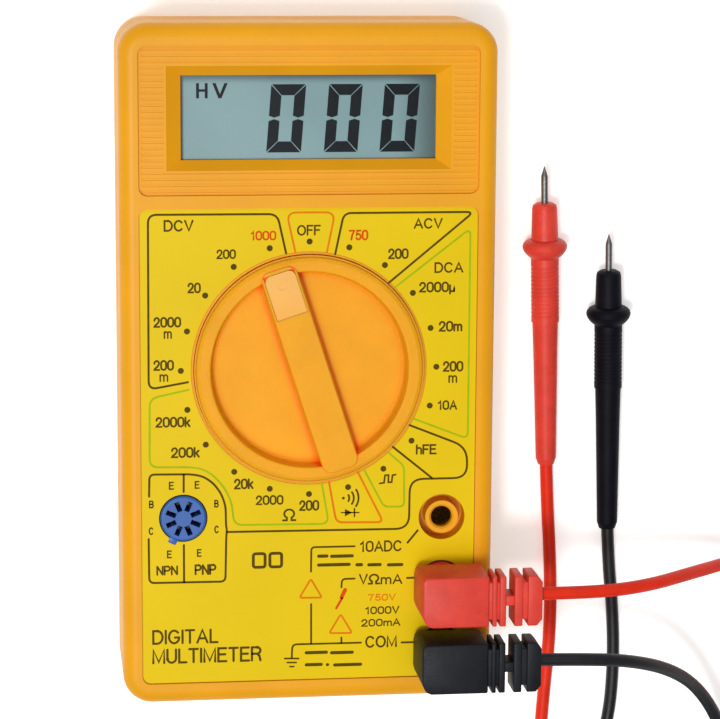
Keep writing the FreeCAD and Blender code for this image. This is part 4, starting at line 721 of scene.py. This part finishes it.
def plug_shell(colour, y, mat):
    """Moulded right-angle plug: block, shroud round the jack's collar, ribbed strain relief."""
    bm = bmesh.new()
    lo, hi, mid = y - 5.3, y + 4.2, y - 0.55
    block = [(20.0, lo + 1.45), (20.5, lo + 0.5), (21.45, lo), (32.1, lo), (32.1, hi), (20.35, hi), (19.75, hi - 0.7), (19.75, lo + 2.4)]
    rounded_solid(bm, block, 25.12, 37.6, 0.36, slant=((0, hi - 2.0, 25.1), (0, 1, -1)))
    for x0, x1, half in ((31.6, 35.25, 3.55), (35.0, 37.1, 0.95), (36.95, 41.3, 3.55)):
        rounded_solid(bm, oblong(x0, x1, mid - half, mid + half), 31.7, 36.95, 0.25)
    for x0, x1 in ((32.75, 33.6), (34.1, 35.3), (36.85, 38.4)):
        rounded_solid(bm, oblong(x0, x1, lo, hi), 30.9, 37.45, 0.22)
    rounded_solid(bm, [(39.35, lo), (41.1, lo), (42.1, lo + 1.2), (42.1, hi - 1.2), (41.1, hi), (39.35, hi)], 30.9, 37.45, 0.24)
    ring_solid(bm, 25.0, y, 3.4, 4.05, 21.5, 25.12, lip=0.1)
    ring_solid(bm, 25.0, y, 3.4, 4.0, 25.05, 26.2, lip=0.05)
    ob = finish_mesh(colour + "_plug_shell", bm, [mat], colour + "_lead")
    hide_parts(colour + "_plug_body")
    return ob


PLUGS = {"red": plug_shell("red", -41.3, RED), "black": plug_shell("black", -54.0, BLACK)}


def knob_skirt():
    """Thin lip that closes the gap between the knob and the case."""
    bm = bmesh.new()
    ring_solid(bm, 0, 0, 20.9, 21.3, 22.6, 25.35, around=128, lip=0.1)
    finish_mesh("knob_skirt", bm, [KNOB], "knob")


knob_skirt()


def socket_key():
    """Small locating key of the transistor socket, at its lower left."""
    bm = bmesh.new()
    a = math.radians(-114.7)
    c, t = Vector((-23.4, -27.8)), Vector((math.cos(a), math.sin(a)))
    n = Vector((-t.y, t.x))
    pts = [c + t * 3.95 - n * 0.85, c + t * 5.25 - n * 0.75, c + t * 5.25 + n * 0.75, c + t * 3.95 + n * 0.85]
    rounded_solid(bm, [(q.x, q.y) for q in pts], 24.3, 24.66, 0.1, 2)
    finish_mesh("socket_key", bm, [SOCKET], "meter")


socket_key()

# ---------------------------------------------------------------- test leads
def cord(name, points, mat, body):
    cu = bpy.data.curves.new(name, "CURVE")
    cu.dimensions = "3D"
    sp = cu.splines.new("NURBS")
    sp.points.add(len(points) - 1)
    for p, q in zip(sp.points, points):
        p.co = (q[0], q[1], q[2], 1.0)
    sp.order_u = 3
    sp.use_endpoint_u = True
    cu.resolution_u = 6
    cu.bevel_depth = 0.00125
    cu.bevel_resolution = 4
    cu.use_fill_caps = True
    cu.materials.append(mat)
    ob = bpy.data.objects.new(name, cu)
    bpy.context.scene.collection.objects.link(ob)
    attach(ob, body)
    return ob


def coil_points(cx, cy, start, turns, per_turn, ring):
    """Control points of a clockwise coil; ring(t) gives radius and height after t turns."""
    out = []
    n = int(round(turns * per_turn))
    for k in range(1, n):
        t = k / per_turn
        r, z = ring(t)
        a = start - 2 * math.pi * t
        out.append((cx + r * 1.008 * math.cos(a), cy + r * 1.008 * math.sin(a), z))
    return out


def ramp(t, stops):
    for (a, va), (b, vb) in zip(stops, stops[1:]):
        if t <= b:
            u = max(0.0, (t - a) / (b - a))
            return va + (vb - va) * u
    return stops[-1][1]


RED_TO_COIL = [(0.0403, -0.0413, 0.0343), (0.0525, -0.04155, 0.0338), (0.0635, -0.0414, 0.0304), (0.0745, -0.0412, 0.0220),
               (0.0845, -0.0419, 0.0120), (0.0945, -0.0415, 0.0068), (0.1040, -0.0409, 0.0046)]
RED_FROM_COIL = [(0.1226, -0.0570, 0.00175), (0.1226, -0.0690, 0.0014), (0.1200, -0.0845, 0.0013), (0.1146, -0.1010, 0.0013), (0.1045, -0.1130, 0.0013),
                 (0.0905, -0.1203, 0.0013), (0.0745, -0.1218, 0.0013), (0.0600, -0.1166, 0.0013), (0.0510, -0.1050, 0.0013),
                 (0.0485, -0.0905, 0.0013), (0.0492, -0.0740, 0.0013), (0.0507, -0.0575, 0.0013), (0.0503, -0.0425, 0.00135),
                 (0.04942, -0.0314, 0.0016), (0.0490, -0.0226, 0.00209)]
BLACK_TO_COIL = [(0.0403, -0.0540, 0.0343), (0.0510, -0.0543, 0.0339), (0.0605, -0.0557, 0.0311), (0.0695, -0.0596, 0.0242),
                 (0.0770, -0.0656, 0.0166), (0.0830, -0.0745, 0.0116), (0.0860, -0.0850, 0.0099), (0.0868, -0.0930, 0.0085)]
BLACK_FROM_COIL = [(0.0592, -0.0970, 0.0016), (0.0598, -0.0870, 0.0013), (0.0629, -0.0765, 0.0013), (0.0636, -0.0645, 0.0013),
                   (0.0631, -0.0535, 0.0013), (0.0620, -0.0440, 0.0016), (0.0615, -0.0358, 0.00209)]

red_radius = [(0, 0.0165), (2.0, 0.0115), (2.15, 0.0115), (4.25, 0.01665)]
red_height = [(0, 0.0043), (1.95, 0.0043), (2.15, 0.00175), (5, 0.00175)]
RED_COIL = coil_points(0.106, -0.0575, math.pi / 2, 4.25, 20, lambda t: (ramp(t, red_radius), ramp(t, red_height)))
black_radius = [(0, 0.0105), (2.0, 0.0155), (4.0, 0.0105), (6.5, 0.0168)]
black_height = [(0, 0.0069), (1.95, 0.0068), (2.12, 0.00425), (3.95, 0.00425), (4.12, 0.00175), (7, 0.00175)]
BLACK_COIL = coil_points(0.076, -0.097, 0.0, 6.5, 20, lambda t: (ramp(t, black_radius), ramp(t, black_height)))

red_cord = cord("red_lead_cord", RED_TO_COIL + RED_COIL + RED_FROM_COIL, RED_PVC, "red_lead")
black_cord = cord("black_lead_cord", BLACK_TO_COIL + BLACK_COIL + BLACK_FROM_COIL, BLACK_PVC, "black_lead")
for colour, ob, jy, length in (("red", red_cord, -0.0413, 0.655), ("black", black_cord, -0.054, 0.675)):
    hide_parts(colour + "_plug_cord", colour + "_cord_coil", colour + "_probe_cord")

# ---------------------------------------------------------------- stage, light, camera
me = bpy.data.meshes.new("floor")
me.from_pydata([(-3, -3, -0.0002), (3, -3, -0.0002), (3, 3, -0.0002), (-3, 3, -0.0002)], [], [(0, 1, 2, 3)])
floor = bpy.data.objects.new("floor", me)
bpy.context.scene.collection.objects.link(floor)
floor_mat = material("floor_paper", (0.92, 0.92, 0.91, 1), vary=0.01, rough=(0.7, 0.8), patch=6, grain=400, bump=0.02)
floor_mat.node_tree.nodes["Principled BSDF"].inputs["Emission Color"].default_value = (1.0, 1.0, 1.0, 1.0)
floor_mat.node_tree.nodes["Principled BSDF"].inputs["Emission Strength"].default_value = 0.36
floor.data.materials.append(floor_mat)

world = bpy.data.worlds.new("studio")
world.use_nodes = True
world.node_tree.nodes["Background"].inputs["Color"].default_value = (1.0, 0.99, 0.97, 1)
world.node_tree.nodes["Background"].inputs["Strength"].default_value = 0.22
bpy.context.scene.world = world


def area(name, place, aim, size, power, colour=(1, 1, 1)):
    li = bpy.data.lights.new(name, "AREA")
    li.shape = "RECTANGLE"
    li.size, li.size_y = size
    li.energy = power
    li.color = colour
    ob = bpy.data.objects.new(name, li)
    ob.location = place
    d = Vector(aim) - Vector(place)
    ob.rotation_euler = d.to_track_quat("-Z", "Y").to_euler()
    bpy.context.scene.collection.objects.link(ob)
    return ob


area("key", (-0.30, -0.10, 1.18), (0.0, 0.0, 0.0), (0.14, 0.14), 5.9, (1.0, 0.99, 0.97))
area("overhead", (-0.30, -0.20, 1.35), (0.02, -0.02, 0.0), (0.9, 0.9), 8.6, (1.0, 1.0, 1.0))
area("fill", (0.25, 0.85, 0.80), (0.0, 0.0, 0.0), (0.5, 0.5), 1.7, (1.0, 0.98, 0.95))

bpy.context.scene.view_settings.view_transform = "Standard"

cam_data = bpy.data.cameras.new("camera")
cam_data.type = "PERSP"
cam_data.sensor_fit = "HORIZONTAL"
cam_data.sensor_width = 36.0
cam_data.lens = 138.15
cam_data.clip_start = 0.01
cam_data.clip_end = 20.0
cam = bpy.data.objects.new("camera", cam_data)
world_to_cam = Matrix(((0.9927684427050558, 0.00580793907474245, 0.11990449121147362),
                       (0.015707726066464908, 0.983956526272059, -0.1777155641705127),
                       (-0.11901296782619604, 0.17831383078809898, 0.9767497587605917)))
cam.matrix_world = Matrix.Translation((-0.0513793, 0.0926913, 0.5234942)) @ world_to_cam.transposed().to_4x4()
bpy.context.scene.collection.objects.link(cam)
bpy.context.scene.camera = cam

bpy.context.view_layer.update()
